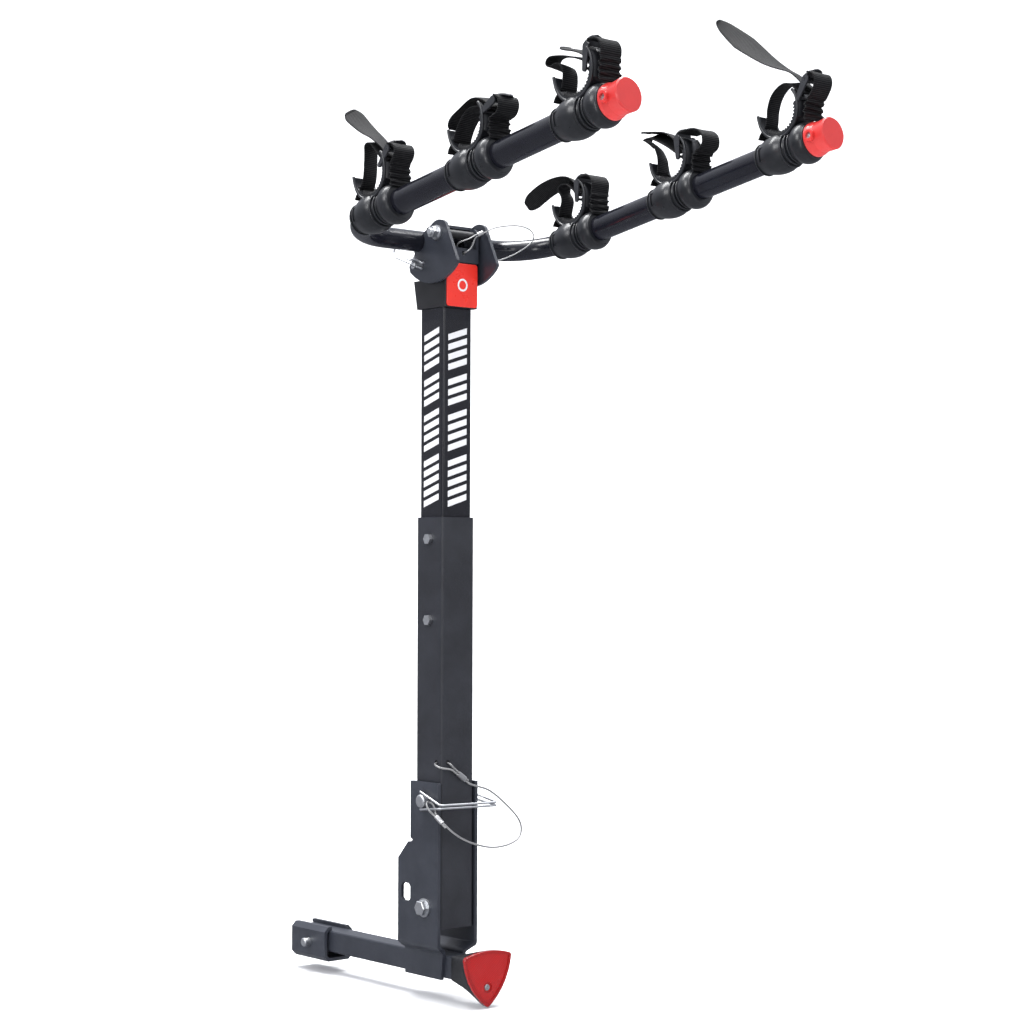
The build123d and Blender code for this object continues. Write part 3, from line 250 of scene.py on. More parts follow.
MATS = {
    "powder_black_steel": powder_coat(
        "powder_black", (0.015, 0.016, 0.021), (0.026, 0.028, 0.036), 0.40, 620, 0.00024, 0.6
    ),
    "gloss_black_steel": powder_coat(
        "gloss_black", (0.006, 0.006, 0.010), (0.010, 0.011, 0.016), 0.17, 300, 0.00003, 0.6
    ),
    "satin_black_steel": powder_coat(
        "satin_black", (0.024, 0.027, 0.036), (0.038, 0.042, 0.054), 0.34, 480, 0.00012, 0.6
    ),
    "zinc_steel": metal("zinc", (0.84, 0.85, 0.87), (0.66, 0.67, 0.68), 0.36, (1, 1, 6)),
    "ferrule_metal": metal("ferrule", (0.72, 0.72, 0.72), (0.55, 0.55, 0.55), 0.36, (6, 1, 1)),
    "cable_steel": cable("cable_coated", (0.36, 0.36, 0.36), (0.11, 0.11, 0.115)),
    "cradle_plastic": plastic(
        "cradle_charcoal", (0.009, 0.010, 0.012), (0.017, 0.018, 0.022), 0.32, 900, 0.00004, 0.15
    ),
    "black_plastic": plastic("black_plastic", (0.012, 0.012, 0.014), (0.02, 0.02, 0.023), 0.42),
    "cap_red": plastic("cap_coral", (0.66, 0.036, 0.033), (0.60, 0.030, 0.028), 0.33, 700, 0.00003, 0.2),
    "badge_red": plastic("badge_red", (0.80, 0.030, 0.016), (0.74, 0.024, 0.014), 0.3, 900, 0.00002, 0.4),
    "reflector_red": reflector("reflector_red"),
    "pad_rubber": plastic("pad_rubber", (0.014, 0.014, 0.015), (0.024, 0.024, 0.026), 0.6, 1200, 0.00006),
    # The webbing's second colour is the painted rib highlight, mixed with a random speck tone.
    "webbing": webbing("webbing_black", (0.003, 0.003, 0.004), (0.018, 0.018, 0.019)),
    "buckle_plastic": plastic(
        "buckle_charcoal", (0.020, 0.021, 0.024), (0.034, 0.035, 0.040), 0.30, 900, 0.00003, 0.2
    ),
}

for row in frame["record"]["subparts"]:
    node_object = NODES[row["node"]]
    node_object.data.materials.clear()
    node_object.data.materials.append(MATS[row["material_slot"]])


def piece(name, verts, faces, slot, body, stands_for=(), uvs=None, smooth=True, mats=None):
    """A mesh object with a finish, riding on a body."""
    mesh = bpy.data.meshes.new(name)
    mesh.from_pydata([tuple(v) for v in verts], [], faces)
    mesh.validate()
    if uvs is not None:
        layer = mesh.uv_layers.new(name="UVMap")
        for loop in mesh.loops:
            layer.data[loop.index].uv = uvs[loop.vertex_index]
    for polygon in mesh.polygons:
        polygon.use_smooth = smooth
    made = bpy.data.objects.new(name, mesh)
    bpy.context.scene.collection.objects.link(made)
    mesh.materials.append(mats or MATS[slot])
    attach(made, body)
    if stands_for:
        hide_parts(*stands_for)
    return made


def modifier(obj, kind, name, **settings):
    made = obj.modifiers.new(name, kind)
    for key, value in settings.items():
        setattr(made, key, value)
    return made


def smooth_edges(obj, width, angle=30, segments=2):
    modifier(
        obj, "BEVEL", "bevel", width=width, segments=segments, limit_method="ANGLE",
        angle_limit=math.radians(angle), harden_normals=True,
    )


# ---------------------------------------------------------------------- smooth lines and ribbons
def rounded(points, rounds=3):
    """The polyline with its corners cut again and again, its two ends kept."""
    line = [Vector(p) for p in points]
    for _ in range(rounds):
        cut = [line[0]]
        for a, b in zip(line, line[1:]):
            cut += [a.lerp(b, 0.25), a.lerp(b, 0.75)]
        line = cut + [line[-1]]
    return line


def even(line, step):
    """Points about step apart along a line, and each one's distance from its start."""
    along = [0.0]
    for a, b in zip(line, line[1:]):
        along.append(along[-1] + (b - a).length)
    count = max(2, int(round(along[-1] / step)) + 1)
    spots, lengths, i = [], [], 0
    for k in range(count):
        want = along[-1] * k / (count - 1)
        while i < len(along) - 2 and along[i + 1] < want:
            i += 1
        span = max(along[i + 1] - along[i], 1e-9)
        spots.append(line[i].lerp(line[i + 1], (want - along[i]) / span))
        lengths.append(want)
    return spots, lengths


def ribbon(side, station, plan_points, width, thick, step=0.6, twist=None, drift=None,
           pleat=None, curl=0.0, taper=0.0, seed=0, hem=0.0):
    """Vertices, faces and UVs of a webbing ribbon along points (a, n), in the side view."""
    line, lengths = even(rounded([Vector((a, n, 0)) for a, n in plan_points]), step)
    total = lengths[-1]
    across = (-1, -0.96, -0.66, -0.33, 0, 0.33, 0.66, 0.96, 1)
    verts, uvs, faces = [], [], []
    ring = 2 * len(across)
    for k, (spot, at) in enumerate(zip(line, lengths)):
        before, after = line[max(k - 1, 0)], line[min(k + 1, len(line) - 1)]
        tangent = (after - before).normalized()
        normal = Vector((-tangent.y, tangent.x, 0))
        share = at / total
        turn = twist(share) if twist else 0.0
        shift = drift(share) if drift else 0.0
        wide = width(share) if callable(width) else width
        near_end = total - at
        if taper and near_end < taper:
            wide *= 0.34 + 0.66 * math.sqrt(max(0.0, 1 - (1 - near_end / taper) ** 2))
        t = thick * (0.5 if not hem or (at > hem and near_end > hem) else 0.85)
        t *= 1 + 0.10 * math.sin(2 * math.pi * at / 2.4)
        sideways = Vector((0, 0, 1)) * math.cos(turn) + normal * math.sin(turn)
        outward = normal * math.cos(turn) - Vector((0, 0, 1)) * math.sin(turn)
        for face in (1, -1):
            for c in across if face == 1 else reversed(across):
                half = t * (0.55 if abs(c) == 1 else 1.0)
                lift = curl * (c * c - 0.35)
                if pleat:
                    lift += pleat(at, c)
                lift += 0.35 * noise.noise(Vector((at * 0.05, c * 0.8, seed * 7.3)))
                p = spot + sideways * (c * wide / 2) + outward * (face * half + lift)
                verts.append(arm_point(side, station, p.x, p.y, p.z + shift))
                uvs.append((at / 10, (c + 1) * wide / 20))
    for k in range(len(line) - 1):
        for i in range(ring):
            j = (i + 1) % ring
            faces.append((k * ring + i, k * ring + j, (k + 1) * ring + j, (k + 1) * ring + i))
    faces.append(tuple(range(ring - 1, -1, -1)))
    faces.append(tuple((len(line) - 1) * ring + i for i in range(ring)))
    return verts, faces, uvs


def plate(outline, low, high, side, station):
    """Vertices and faces of a plate: an outline in (a, n), between two places across the arm."""
    verts, faces = [], []
    for x in (low, high):
        verts += [arm_point(side, station, a, n, x) for a, n in outline]
    count = len(outline)
    faces.append(tuple(range(count)))
    faces.append(tuple(range(2 * count - 1, count - 1, -1)))
    for i in range(count):
        j = (i + 1) % count
        faces.append((j, i, i + count, j + count))
    return verts, faces


def rod(line, radius, sides=12, flat=1.0, axis=None):
    """A tube along points in the row frame, with closed ends."""
    verts, faces = [], []
    up = Vector(axis) if axis else Vector((1, 0, 0))
    for k, spot in enumerate(line):
        tangent = (line[min(k + 1, len(line) - 1)] - line[max(k - 1, 0)]).normalized()
        side_way = up - tangent * up.dot(tangent)
        side_way.normalize()
        other = tangent.cross(side_way)
        r = radius(k / (len(line) - 1)) if callable(radius) else radius
        for i in range(sides):
            turn = 2 * math.pi * i / sides
            verts.append(spot + side_way * (r * flat * math.cos(turn)) + other * (r * math.sin(turn)))
    for k in range(len(line) - 1):
        for i in range(sides):
            j = (i + 1) % sides
            faces.append((k * sides + i, k * sides + j, (k + 1) * sides + j, (k + 1) * sides + i))
    faces.append(tuple(range(sides - 1, -1, -1)))
    faces.append(tuple((len(line) - 1) * sides + i for i in range(sides)))
    return verts, faces


def join(parts):
    """One list of vertices and faces from several."""
    verts, faces = [], []
    for v, f in parts:
        base = len(verts)
        verts += v
        faces += [tuple(base + i for i in face) for face in f]
    return verts, faces


# -------------------------------------------------------------------------- straps and anchors
# Points are (along the arm, away from the arm) from the cradle's station, in millimetres.
STRAPS = {
    "left_1": dict(
        up=[(-19, 46), (-15, 60), (-11, 79), (-10, 93), (3, 94), (15, 80)],
        tail=[(21, 82), (7, 98), (-3, 106), (-18, 121), (-41, 148)],
        buckle=[(24, 53), (43, 70)],
        anchor=[(47, 50), (56, 55), (60, 64), (55, 73), (46, 75)],
        twist=lambda s: 0.2 - 0.9 * max(0.0, (s - 0.62) / 0.38),
        drift=lambda s: -6 * max(0.0, s - 0.6) / 0.4,
    ),
    "left_2": dict(
        up=[(-23, 46), (-10, 60), (10, 71)],
        tail=[(30, 77), (12, 81), (-5, 75), (-26, 69), (-40, 58)],
        buckle=[(34, 56), (56, 64)],
        anchor=[(48, 46), (60, 45), (68, 54), (67, 65), (60, 69)],
        twist=lambda s: -0.12 + 0.5 * max(0.0, s - 0.55),
        drift=lambda s: -3 * max(0.0, s - 0.6) / 0.4,
    ),
    "left_3": dict(
        up=[(-23, 46), (-21, 60), (-29, 71), (-46, 70), (-53, 77), (-45, 86), (-20, 78), (4, 66)],
        tail=[(5, 76), (-15, 84), (-25, 90)],
        buckle=[(20, 46), (27, 72)],
        anchor=[(49, 50), (54, 64), (47, 76), (33, 78)],
        twist=lambda s: 0.12 * math.sin(5 * s),
        drift=lambda s: 2 * math.sin(4 * s),
    ),
    "right_1": dict(
        up=[(-22, 46), (-16, 60), (-24, 72), (-20, 79), (-8, 80), (4, 72)],
        tail=[(6, 82), (-19, 88), (-52, 86), (-75, 80), (-99, 72)],
        buckle=[(17, 47), (21, 71)],
        anchor=[(49, 50), (54, 64), (46, 76), (28, 77)],
        twist=lambda s: 0.1 + 1.1 * max(0.0, (s - 0.55) / 0.45),
        drift=lambda s: -5 * max(0.0, s - 0.6) / 0.4,
    ),
    "right_2": dict(
        up=[(-25, 46), (-23, 60), (-32, 82), (-50, 87), (-46, 95), (-30, 93), (-4, 75)],
        tail=[(2, 85), (-20, 94), (-51, 104)],
        buckle=[(19, 46), (21, 71)],
        anchor=[(52, 44), (67, 48), (69, 64), (54, 76), (28, 77)],
        twist=lambda s: 0.1 + 0.25 * math.sin(4 * s),
        drift=lambda s: -2 * s,
    ),
    "right_3": dict(
        up=[(-23, 46), (-20, 60), (-10, 77), (8, 85), (24, 82)],
        tail=[(28, 92), (2, 108), (-23, 131), (-54, 164), (-90, 204)],
        buckle=[(36, 55), (53, 76)],
        anchor=[(50, 48), (61, 56), (69, 68), (67, 79), (58, 83)],
        twist=lambda s: 0.15 - 1.05 * max(0.0, (s - 0.5) / 0.5),
        drift=lambda s: -8 * max(0.0, s - 0.5) / 0.5,
        wide=lambda s: (
            27 + 6 * min(1.0, max(0.0, (s - 0.45) / 0.15)) - 20 * max(0.0, (s - 0.82) / 0.18)
        ),
    ),
}
TURN_R = 3.6
STRAP_W, STRAP_T = 26.0, 1.7
ANCHOR_W, ANCHOR_T = 36.0, 2.4


def strap_points(plan):
    """The strap's route: out of its slit, up, round the buckle's bar and along its free end."""
    near, far = (Vector(p) for p in plan["buckle"])
    bar = near.lerp(far, 0.42)
    pull = (bar - Vector(plan["up"][-1])).normalized()
    lift = Vector((-pull.y, pull.x))
    if lift.dot(Vector(plan["tail"][0]) - bar) < 0:
        lift = -lift
    route = [(-40.5, 24.5), (-38, 31), (-27, 36.6), *plan["up"]]
    route += [tuple(bar - lift * TURN_R + pull * TURN_R), tuple(bar + lift * TURN_R + pull * TURN_R)]
    return route + plan["tail"]


for key, plan in STRAPS.items():
    word, number = key.split("_")
    side = 1 if word == "right" else -1
    station = STATIONS[int(number) - 1]
    seed = int(number) + (3 if side > 0 else 0)
    verts, faces, uvs = ribbon(
        side, station, strap_points(plan), plan.get("wide", STRAP_W), STRAP_T,
        twist=plan["twist"], drift=plan["drift"], curl=0.5, taper=20, seed=seed, hem=3,
    )
    piece(f"strap_webbing_{key}", verts, faces, "webbing", "arms", [f"strap_{key}"], uvs)

for word, side in (("left", -1), ("right", 1)):
    parts, all_uvs = [], []
    for number, station in enumerate(STATIONS, start=1):
        plan = STRAPS[f"{word}_{number}"]
        foot = 19 if number < 3 else 24.5
        route = [(45.6, foot), (45, 36), *plan["anchor"]]
        phase = number * 1.7 + side

        def gathers(at, c, phase=phase):
            """Puckers where the wide webbing is sewn down, fading towards the roll at its top."""
            fade = max(0.0, min(1.0, (34 - at) / 12)) * min(1.0, at / 5)
            wave = math.sin(2 * math.pi * at / 8.5 + phase + 0.6 * math.sin(2.2 * c + phase))
            return fade * (1.7 * wave + 0.6 * math.sin(2 * math.pi * at / 3.9 + 3 * c))

        verts, faces, uvs = ribbon(
            side, station, route, lambda s: ANCHOR_W - 3.5 * math.sin(math.pi * s), ANCHOR_T,
            pleat=gathers, curl=-0.3, seed=10 + number + side,
        )
        parts.append((verts, faces))
        all_uvs += uvs
    verts, faces = join(parts)
    piece(
        f"anchor_webbing_{word}", verts, faces, "webbing", "arms", [f"strap_anchors_{word}"], all_uvs
    )

# ---------------------------------------------------------------------------------- buckles
CHEEK_X = 13.6


def lobe(start, end, low, high, count=9):
    """Outline of a bar in (a, n) with round ends of two sizes."""
    run = (end - start).normalized()
    normal = Vector((-run.y, run.x))
    outline = []
    for centre, radius, first in ((end, high, -1), (start, low, 1)):
        for k in range(count):
            turn = math.pi * k / (count - 1)
            offset = normal * (first * -1 * radius * math.cos(turn)) + run * (
                -first * radius * math.sin(turn)
            )
            outline.append(centre + offset)
    return [tuple(p) for p in outline]


for word, side in (("left", -1), ("right", 1)):
    parts = []
    for number, station in enumerate(STATIONS, start=1):
        near, far = (Vector(p) for p in STRAPS[f"{word}_{number}"]["buckle"])
        run = (far - near).normalized()
        normal = Vector((run.y, -run.x))
        bar = near.lerp(far, 0.42)
        for x in (-1, 1):
            inner, outer = x * CHEEK_X, x * (CHEEK_X + 2.6)
            cheek = lobe(near, far, 3.2, 5.2)
            parts.append(plate(cheek, min(inner, outer), max(inner, outer), side, station))
        for spot, radius in ((bar, 2.0), (near + run * 1.5, 1.8), (far - run * 1.5, 2.2)):
            ends = [arm_point(side, station, spot.x, spot.y, x) for x in (-CHEEK_X, CHEEK_X)]
            parts.append(rod([ends[0].lerp(ends[1], k / 4) for k in range(5)], radius * MM, 16,
                             axis=tuple(ALONG)))
        # Thumb lever: a crowned tab that stands up past the far bar.
        rows, columns, top, thick = 15, 17, 15.0, 2.6
        verts, faces = [], []
        for face in (0, 1):
            for r in range(rows):
                share = r / (rows - 1)
                reach = -6 + (top + 6) * share
                half = CHEEK_X + 1.5
                if reach > 0:
                    half *= math.sqrt(max(0.0, 1 - (reach / (top + 0.01)) ** 2.2))
                for c in range(columns):
                    q = -1 + 2 * c / (columns - 1)
                    lift = 1.5 + 5.5 * share * share - (thick if face else 0)
                    lift -= 0.9 * q * q * (1 if not face else 0.6)
                    p = far + run * reach + normal * (lift - 4.0)
                    verts.append(arm_point(side, station, p.x, p.y, q * half))
        size = rows * columns
        for face in (0, 1):
            for r in range(rows - 1):
                for c in range(columns - 1):
                    quad = [face * size + r * columns + c, face * size + r * columns + c + 1,
                            face * size + (r + 1) * columns + c + 1, face * size + (r + 1) * columns + c]
                    faces.append(tuple(quad if face else reversed(quad)))
        edge = [r * columns for r in range(rows)]
        edge += [(rows - 1) * columns + c for c in range(1, columns)]
        edge += [r * columns + columns - 1 for r in range(rows - 2, -1, -1)]
        edge += list(range(columns - 2, 0, -1))
        for i, j in zip(edge, edge[1:] + edge[:1]):
            faces.append((i, j, j + size, i + size))
        parts.append((verts, faces))
    verts, faces = join(parts)
    made = piece(f"buckle_set_{word}", verts, faces, "buckle_plastic", "arms", [f"buckles_{word}"])
    smooth_edges(made, 0.0007, 40)

# ----------------------------------------------------------------------------- cradle details
RIM_PATH = [(-33.5, 54), (-32.8, 44), (-29.5, 33), (-22.5, 23), (-11, 16.6), (1, 15), (13, 16.8),
            (24, 23.5), (31, 33), (34.2, 44), (34.6, 54), (33, 63), (28.5, 70)]

for word, side in (("left", -1), ("right", 1)):
    rims, teeth = [], []
    for number, station in enumerate(STATIONS, start=1):
        line, _ = even(rounded([Vector((a, n, 0)) for a, n in RIM_PATH]), 1.5)
        for x in (-15.4, 15.4):
            spots = [arm_point(side, station, p.x, p.y, x) for p in line]
            rims.append(rod(spots, 0.0020, 12, flat=1.0))
        # Tall right lip of the cup, between its two rims.
        lip, _ = even(rounded([Vector((a, n, 0)) for a, n in RIM_PATH[-5:]]), 1.5)
        outline = []
        for k, p in enumerate(lip):
            q = lip[min(k + 1, len(lip) - 1)] - lip[max(k - 1, 0)]
            outline.append(p + Vector((q.y, -q.x, 0)).normalized() * 0.9)
        for k in range(len(lip) - 1, -1, -1):
            q = lip[min(k + 1, len(lip) - 1)] - lip[max(k - 1, 0)]
            outline.append(lip[k] - Vector((q.y, -q.x, 0)).normalized() * 1.6)
        rims.append(plate([(p.x, p.y) for p in outline], -15.2, 15.2, side, station))
        # Rubber pad: saw teeth round the cup's inside, from the strap's slit to the tall lip's top.
        outer, inner = [], []
        first, last, count = math.radians(222), math.radians(372), 15
        for k in range(count * 4 + 1):
            turn = first + (last - first) * k / (count * 4)
            tooth = (0.0, 0.75, 1.0, 0.35)[k % 4]
            grow = 1.0 + 0.10 * max(0.0, math.sin(turn)) if turn > 2 * math.pi else 1.0
            for lst, radius in ((outer, 29.3 * grow), (inner, (26.6 - 2.6 * tooth) * grow)):
                lst.append((radius * math.cos(turn), CUP_CENTRE + radius * math.sin(turn)))
        teeth.append(plate(outer + inner[::-1], -12.6, 12.6, side, station))
    verts, faces = join(rims)
    piece(f"cradle_rims_{word}", verts, faces, "cradle_plastic", "arms")
    verts, faces = join(teeth)
    pads = [f"cradle_pads_{word}"]
    piece(f"toothed_pads_{word}", verts, faces, "pad_rubber", "arms", pads, smooth=False)

# ---------------------------------------------------------------------- collar ridges and panels
parts = {-1: [], 1: []}
PANEL_WIRE = 0.0010
for side in (-1, 1):
    for number, station in enumerate(STATIONS, start=1):
        for a, radius, wire in ((3.0, 22.7, 1.5), (8.6, 21.2, 1.3), (13.6, 20.6, 1.3), (-43, 20.6, 1.1),
                                (40.8, 22.3, 1.2)):
            loop = []
            for k in range(49):
                turn = 2 * math.pi * k / 48
                loop.append(arm_point(side, station, a, radius * math.cos(turn), radius * math.sin(turn)))
            parts[side].append(rod(loop, wire * MM, 8, axis=tuple(ALONG)))
        # Panel frame on the outer side of the collar.
        for (a0, n0), (a1, n1) in (((-34, 9), (-6, 9)), ((-6, 9), (-6, -9)), ((-6, -9), (-34, -9)),
                                   ((-34, -9), (-34, 9))):
            bar_line = []
            for k in range(9):
                a = a0 + (a1 - a0) * k / 8
                n = n0 + (n1 - n0) * k / 8
                bulge = 23.6 + 0.9 * math.sin(math.pi * (a + 34) / 28) if a > -34 else 23.6
                bar_line.append(arm_point(side, station, a, n, -math.sqrt(max(bulge**2 - n**2, 1))))
            across = AWAY if abs(n1 - n0) < 1 else ALONG
            parts[side].append(rod(bar_line, PANEL_WIRE, 8, axis=tuple(across)))
for side, word in ((-1, "left"), (1, "right")):
    verts, faces = join(parts[side])
    piece(f"collar_ridges_{word}", verts, faces, "cradle_plastic", "arms")

# ------------------------------------------------------------------------------------- label
def decal(name, shapes, face, slot, material, lift, body="mast"):
    """Thin plates on a face of the upper mast tube: shapes in (across, height), metres."""
    verts, faces = [], []
    for shape in shapes:
        base = len(verts)
        for depth in (0.00002, lift):
            for u, z in shape:
                if face == "-Y":
                    verts.append((u, MAST_Y - UPPER_HALF - depth, z))
                elif face == "-X":
                    verts.append((-UPPER_HALF - depth, MAST_Y - u, z))
                else:
                    verts.append((UPPER_HALF + depth, MAST_Y + u, z))
        count = len(shape)
        faces.append(tuple(base + count + i for i in range(count)))
        faces.append(tuple(base + i for i in range(count - 1, -1, -1)))
        for i in range(count):
            j = (i + 1) % count
            faces.append((base + i, base + j, base + count + j, base + count + i))
    return piece(name, verts, faces, slot, body, mats=material, smooth=False)


def label_white():
    m = Mat("label_white", (0.80, 0.80, 0.80), 0.32, **{"Coat_Weight": 0.3, "Coat_Roughness": 0.1})
    m.colour(m.mix(m.ramp(m.noise(60, 4, 0.6), 0.3, 0.75), (0.82, 0.82, 0.82), (0.74, 0.74, 0.75)))
    m.roughness(m.ramp(m.noise(30, 3, 0.6), 0.3, 0.7, 0.26, 0.4))
    m.bump(m.noise(1500, 2, 0.5), 0.00001)
    return m.mat


def label_film():
    m = Mat("label_film", (0.006, 0.006, 0.009), 0.16, **{"Coat_Weight": 0.5, "Coat_Roughness": 0.08})
    m.colour(m.mix(m.ramp(m.noise(25, 3, 0.6), 0.3, 0.75), (0.005, 0.005, 0.008), (0.009, 0.009, 0.013)))
    m.roughness(m.ramp(m.noise(20, 3, 0.6), 0.3, 0.7, 0.12, 0.22))
    m.bump(m.noise(18, 2, 0.5), 0.00008, 0.4)
    return m.mat


WHITE, FILM = label_white(), label_film()
LABEL_LOW, LABEL_HIGH, LABEL_HALF = 0.630, 0.9005, 0.0222
FILM_LIFT, BAR_LIFT = 0.00010, 0.00018
BAR_TALL, BAR_STEP = 0.0085, 0.0138
BAR_GROUPS = ((0.641, 5), (0.718, 4), (0.781, 3), (0.830, 4))  # lowest bar's height, count
STRIPES = [(low + k * BAR_STEP, BAR_TALL) for low, count in BAR_GROUPS for k in range(count)]


def stripe(z, tall, half=0.0165, slant=0.0105):
    """A slanting block across the face."""
    return [(-half, z), (half, z + slant), (half, z + tall + slant), (-half, z + tall)]


for face, word in (("-Y", "rear"), ("-X", "left"), ("+X", "right")):
    half = LABEL_HALF
    film = [(-half, LABEL_LOW), (half, LABEL_LOW), (half, LABEL_HIGH), (-half, LABEL_HIGH)]
    decal(f"label_film_{word}", [film], face, "gloss_black_steel", FILM, FILM_LIFT)
    bars = [stripe(z, tall) for z, tall in STRIPES]
    decal(f"label_stripes_{word}", bars, face, "badge_red", WHITE, BAR_LIFT)

# --------------------------------------------------------------------------------- badge ring
low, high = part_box("head_badge")
centre = (low + high) / 2
ring_verts, ring_faces = [], []
for k in range(48):
    turn = 2 * math.pi * k / 48
    for radius, depth in ((0.0062, 0.0), (0.0062, 0.00025), (0.0088, 0.00025), (0.0088, 0.0)):
        x = centre.x + radius * math.cos(turn)
        z = centre.z + radius * math.sin(turn)
        ring_verts.append((x, low.y - depth, z))
for k in range(48):
    for i in range(4):
        a, b = k * 4 + i, k * 4 + (i + 1) % 4
        c, d = ((k + 1) % 48) * 4 + (i + 1) % 4, ((k + 1) % 48) * 4 + i
        ring_faces.append((a, b, c, d))
piece("badge_ring", ring_verts, ring_faces, "badge_red", "mast", mats=WHITE, smooth=False)


# --------------------------------------------------------------------------------- lanyards
LOWER_R, UPPER_R = 0.0014, 0.0009
FERRULES = (
    ((-4.3, -33.0, 273.6), (13.8, -33.0, 261.0), (0.571, 0, 0.821), 1.6),
    ((-35.0, -47.0, 201.6), (-41.3, -32.0, 216.4), (0.957, 0.206, 0.203), 1.6),
    ((20.0, -43.0, 1018.2), (28.5, -46.5, 1022.6), (-0.46, 0, 0.888), 1.1),
)


def strand(number, side, before, after):
    start, end, across, pitch = FERRULES[number]
    shift = Vector(across).normalized() * (side * pitch)
    run = (Vector(end) - Vector(start)).normalized()
    return tuple(Vector(start) + shift - run * before), tuple(Vector(end) + shift + run * after)


high_in, high_out = strand(0, 1, 6, 1)
low_in, low_out = strand(0, -1, 5, 6)
far_in, far_out = strand(1, 1, 9, 3)
back_in, back_out = strand(1, -1, 1, 3)
top_a, top_b = strand(2, 1, 4, 0.5)
under_a, under_b = strand(2, -1, 4, 4)
LOWER_ROUTE = [
    high_out, high_in, (-17, -33.5, 287), (-17, -17, 289), (-34, -17, 286.5), (-34.5, -33, 281.5),
    (-16, -35.5, 279), low_in, low_out, (31.9, -33, 252.8), (62, -26, 245), (99.8, -24, 217),
    (118, -24, 198.8), (120.3, -26, 184), (109.8, -30, 171.6), (82.3, -34, 165.2),
    (51.3, -38, 165.8), (26.1, -40, 172.2), (4.3, -41, 179.4), far_in, far_out,
    (-37.2, -26.5, 222.5), (-37.0, -21.0, 232), (-43, -16.8, 235.0), (-49.5, -21, 232),
    (-49, -28, 223), back_out, back_in,
]
UPPER_ROUTE = [
    top_b, top_a, (8.0, -41.3, 1012.5), (-1.5, -40.5, 1009), (-7, -34.5, 1006.2),
    (-5.5, -28.2, 999.5), (1.8, -28.0, 992.2), (2.2, -39.2, 993), (9.5, -41, 998),
    (15, -42.0, 1007), under_a, under_b, (35.2, -54.8, 1027.1), (49.5, -51, 1031.3),
    (71.2, -46, 1036.1), (95.9, -42, 1039.5), (118, -38, 1038.2), (130.9, -34, 1032.8),
    (134.3, -32, 1026.2), (128.2, -30, 1017.4), (119.1, -26, 1009.9), (105.6, -20, 1001),
    (93.8, -14, 995.3), (84, -9.5, 991.5), (70, -4, 986), (55, -1.2, 981.5), (41.5, 1.2, 978.2),
]


def lanyard(name, route, radius, node):
    curve = bpy.data.curves.new(name, "CURVE")
    curve.dimensions = "3D"
    curve.bevel_depth = radius
    curve.bevel_resolution = 4
    curve.resolution_u = 16
    curve.use_fill_caps = True
    spline = curve.splines.new("NURBS")
    spots = [Vector((x, y, z)) * MM + Vector((0, MAST_Y, 0)) for x, y, z in route]
    spline.points.add(len(spots) - 1)
    for point, spot in zip(spline.points, spots):
        point.co = (*spot, 1)
    spline.order_u = 3
    spline.use_endpoint_u = True
    made = bpy.data.objects.new(name, curve)
    bpy.context.scene.collection.objects.link(made)
    curve.materials.append(MATS["cable_steel"])
    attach(made, "mast")
    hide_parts(node)
    return made, spots


lower, lower_spots = lanyard("lower_cable", LOWER_ROUTE, LOWER_R, "lower_lanyard")
upper, upper_spots = lanyard("upper_cable", UPPER_ROUTE, UPPER_R, "upper_lanyard")


# ------------------------------------------------------------------------ floor, light, camera
def floor_material():
    m = Mat("floor_pale", (0.90, 0.90, 0.90), 0.6)
    m.colour(m.mix(m.ramp(m.noise(3, 3, 0.5), 0.3, 0.7), (0.90, 0.90, 0.90), (0.88, 0.88, 0.885)))
    m.bump(m.noise(40, 2, 0.5), 0.0002, 0.2)
    return m.mat


floor_mesh = bpy.data.meshes.new("floor")
FLOOR_Z = cad_box[0].z - 0.002
FLOOR_HALF = 14.0
profile = []
for k in range(13):
    turn = math.radians(90 * k / 12)
    profile.append((4.5 + 2.0 * math.sin(turn), FLOOR_Z + 2.0 * (1 - math.cos(turn))))
view_dir = Vector((0.6477, 0.7619, 0))
right_dir = Vector((0.7619, -0.6477, 0))
rows = [(-9.0, FLOOR_Z)] + profile + [(6.5, FLOOR_Z + 9.0)]
floor_verts = []
for run, z in rows:
    for s in (-FLOOR_HALF, FLOOR_HALF):
        spot = view_dir * run + right_dir * s
        floor_verts.append((spot.x, spot.y, z))
floor_faces = [(2 * i, 2 * i + 1, 2 * i + 3, 2 * i + 2) for i in range(len(rows) - 1)]
floor_mesh.from_pydata(floor_verts, [], floor_faces)
for polygon in floor_mesh.polygons:
    polygon.use_smooth = True
floor_mesh.materials.append(floor_material())
floor = bpy.data.objects.new("floor", floor_mesh)
bpy.context.scene.collection.objects.link(floor)
floor.visible_glossy = False

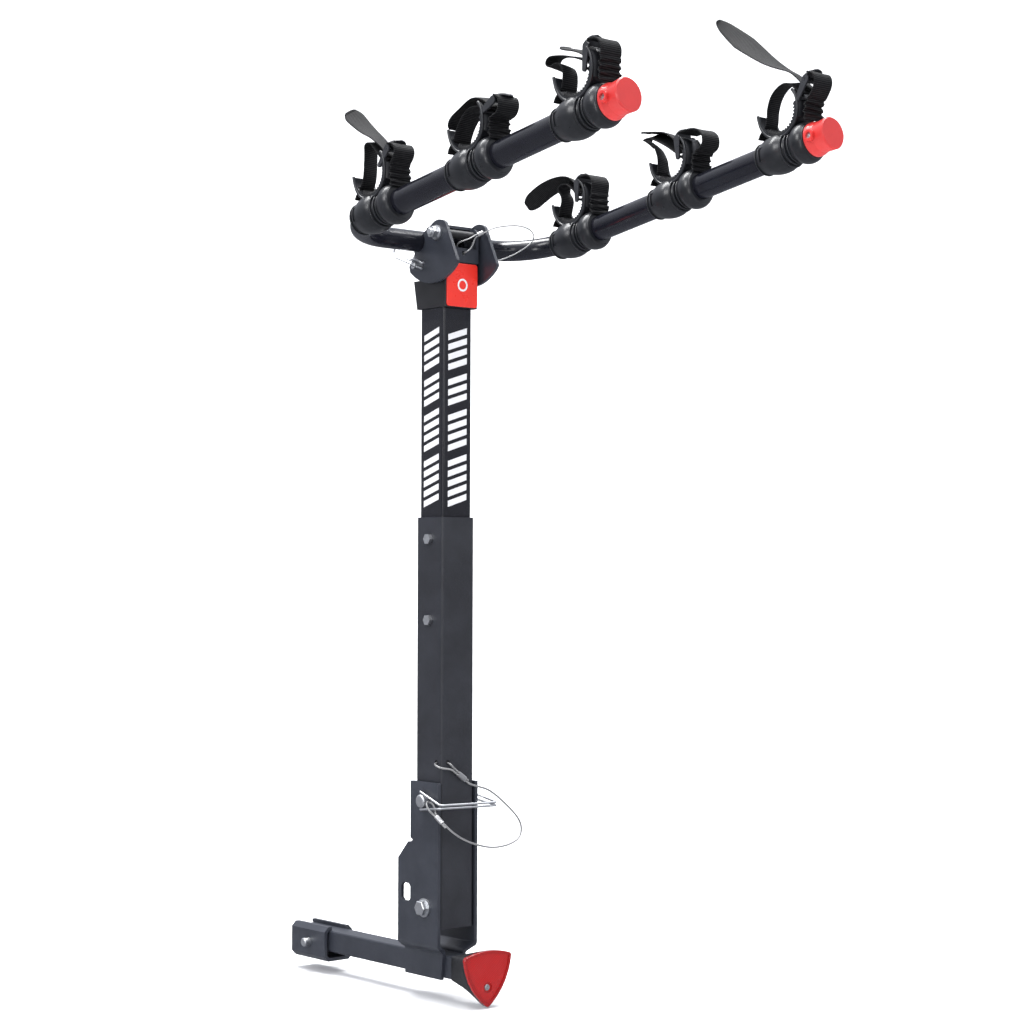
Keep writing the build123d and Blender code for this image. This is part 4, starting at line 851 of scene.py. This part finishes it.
world = bpy.data.worlds.new("studio")
world.use_nodes = True
sky = world.node_tree
gaze = sky.nodes.new("ShaderNodeTexCoord")
height = sky.nodes.new("ShaderNodeSeparateXYZ")
sky.links.new(gaze.outputs["Generated"], height.inputs[0])
bands = sky.nodes.new("ShaderNodeValToRGB")
sky.links.new(height.outputs["Z"], bands.inputs["Fac"])
bands.color_ramp.elements[0].position, bands.color_ramp.elements[0].color = 0.0, (0.30, 0.31, 0.34, 1)
bands.color_ramp.elements[1].position, bands.color_ramp.elements[1].color = 0.75, (0.95, 0.98, 1.08, 1)
sky.links.new(bands.outputs["Color"], sky.nodes["Background"].inputs["Color"])
sky.nodes["Background"].inputs["Strength"].default_value = 0.9
bpy.context.scene.world = world


def area_light(name, spot, target, size, power, tall=None):
    data = bpy.data.lights.new(name, "AREA")
    data.energy = power
    data.shape = "RECTANGLE"
    data.size = size
    data.size_y = tall or size
    made = bpy.data.objects.new(name, data)
    made.location = spot
    made.rotation_mode = "QUATERNION"
    made.rotation_quaternion = (Vector(target) - Vector(spot)).to_track_quat("-Z", "Y")
    bpy.context.scene.collection.objects.link(made)
    return made


TARGET = (0, -0.4, 0.6)
area_light("key", (-2.6, -0.6, 2.6), TARGET, 1.2, 34)
area_light("fill", (0.6, -3.2, 1.6), TARGET, 1.6, 13)
area_light("top", (0, -0.5, 3.4), TARGET, 2.4, 48)
area_light("edge", (-2.6, -2.3, 0.9), TARGET, 0.5, 16, 2.0)
area_light("backdrop", (0.5, 0.4, 3.6), (3.2, 3.8, 0.4), 3.0, 420)

data = bpy.data.cameras.new("camera")
camera = bpy.data.objects.new("camera", data)
bpy.context.scene.collection.objects.link(camera)
bpy.context.scene.camera = camera
data.sensor_width = 36
data.lens = 2238.36 / 1024 * 36
data.shift_y = 51.0 / 1024
data.clip_end = 100
camera.location = (-1.9525, -2.7304, 0.5639)
roll = math.radians(0.202)
forward = view_dir.normalized()
right = Vector((forward.y, -forward.x, 0))
up = Vector((0, 0, 1))
right_r = right * math.cos(roll) + up * math.sin(roll)
up_r = -right * math.sin(roll) + up * math.cos(roll)
camera.rotation_mode = "QUATERNION"
camera.rotation_quaternion = Matrix((right_r, up_r, -forward)).transposed().to_quaternion()

bpy.context.scene.view_settings.view_transform = "Standard"
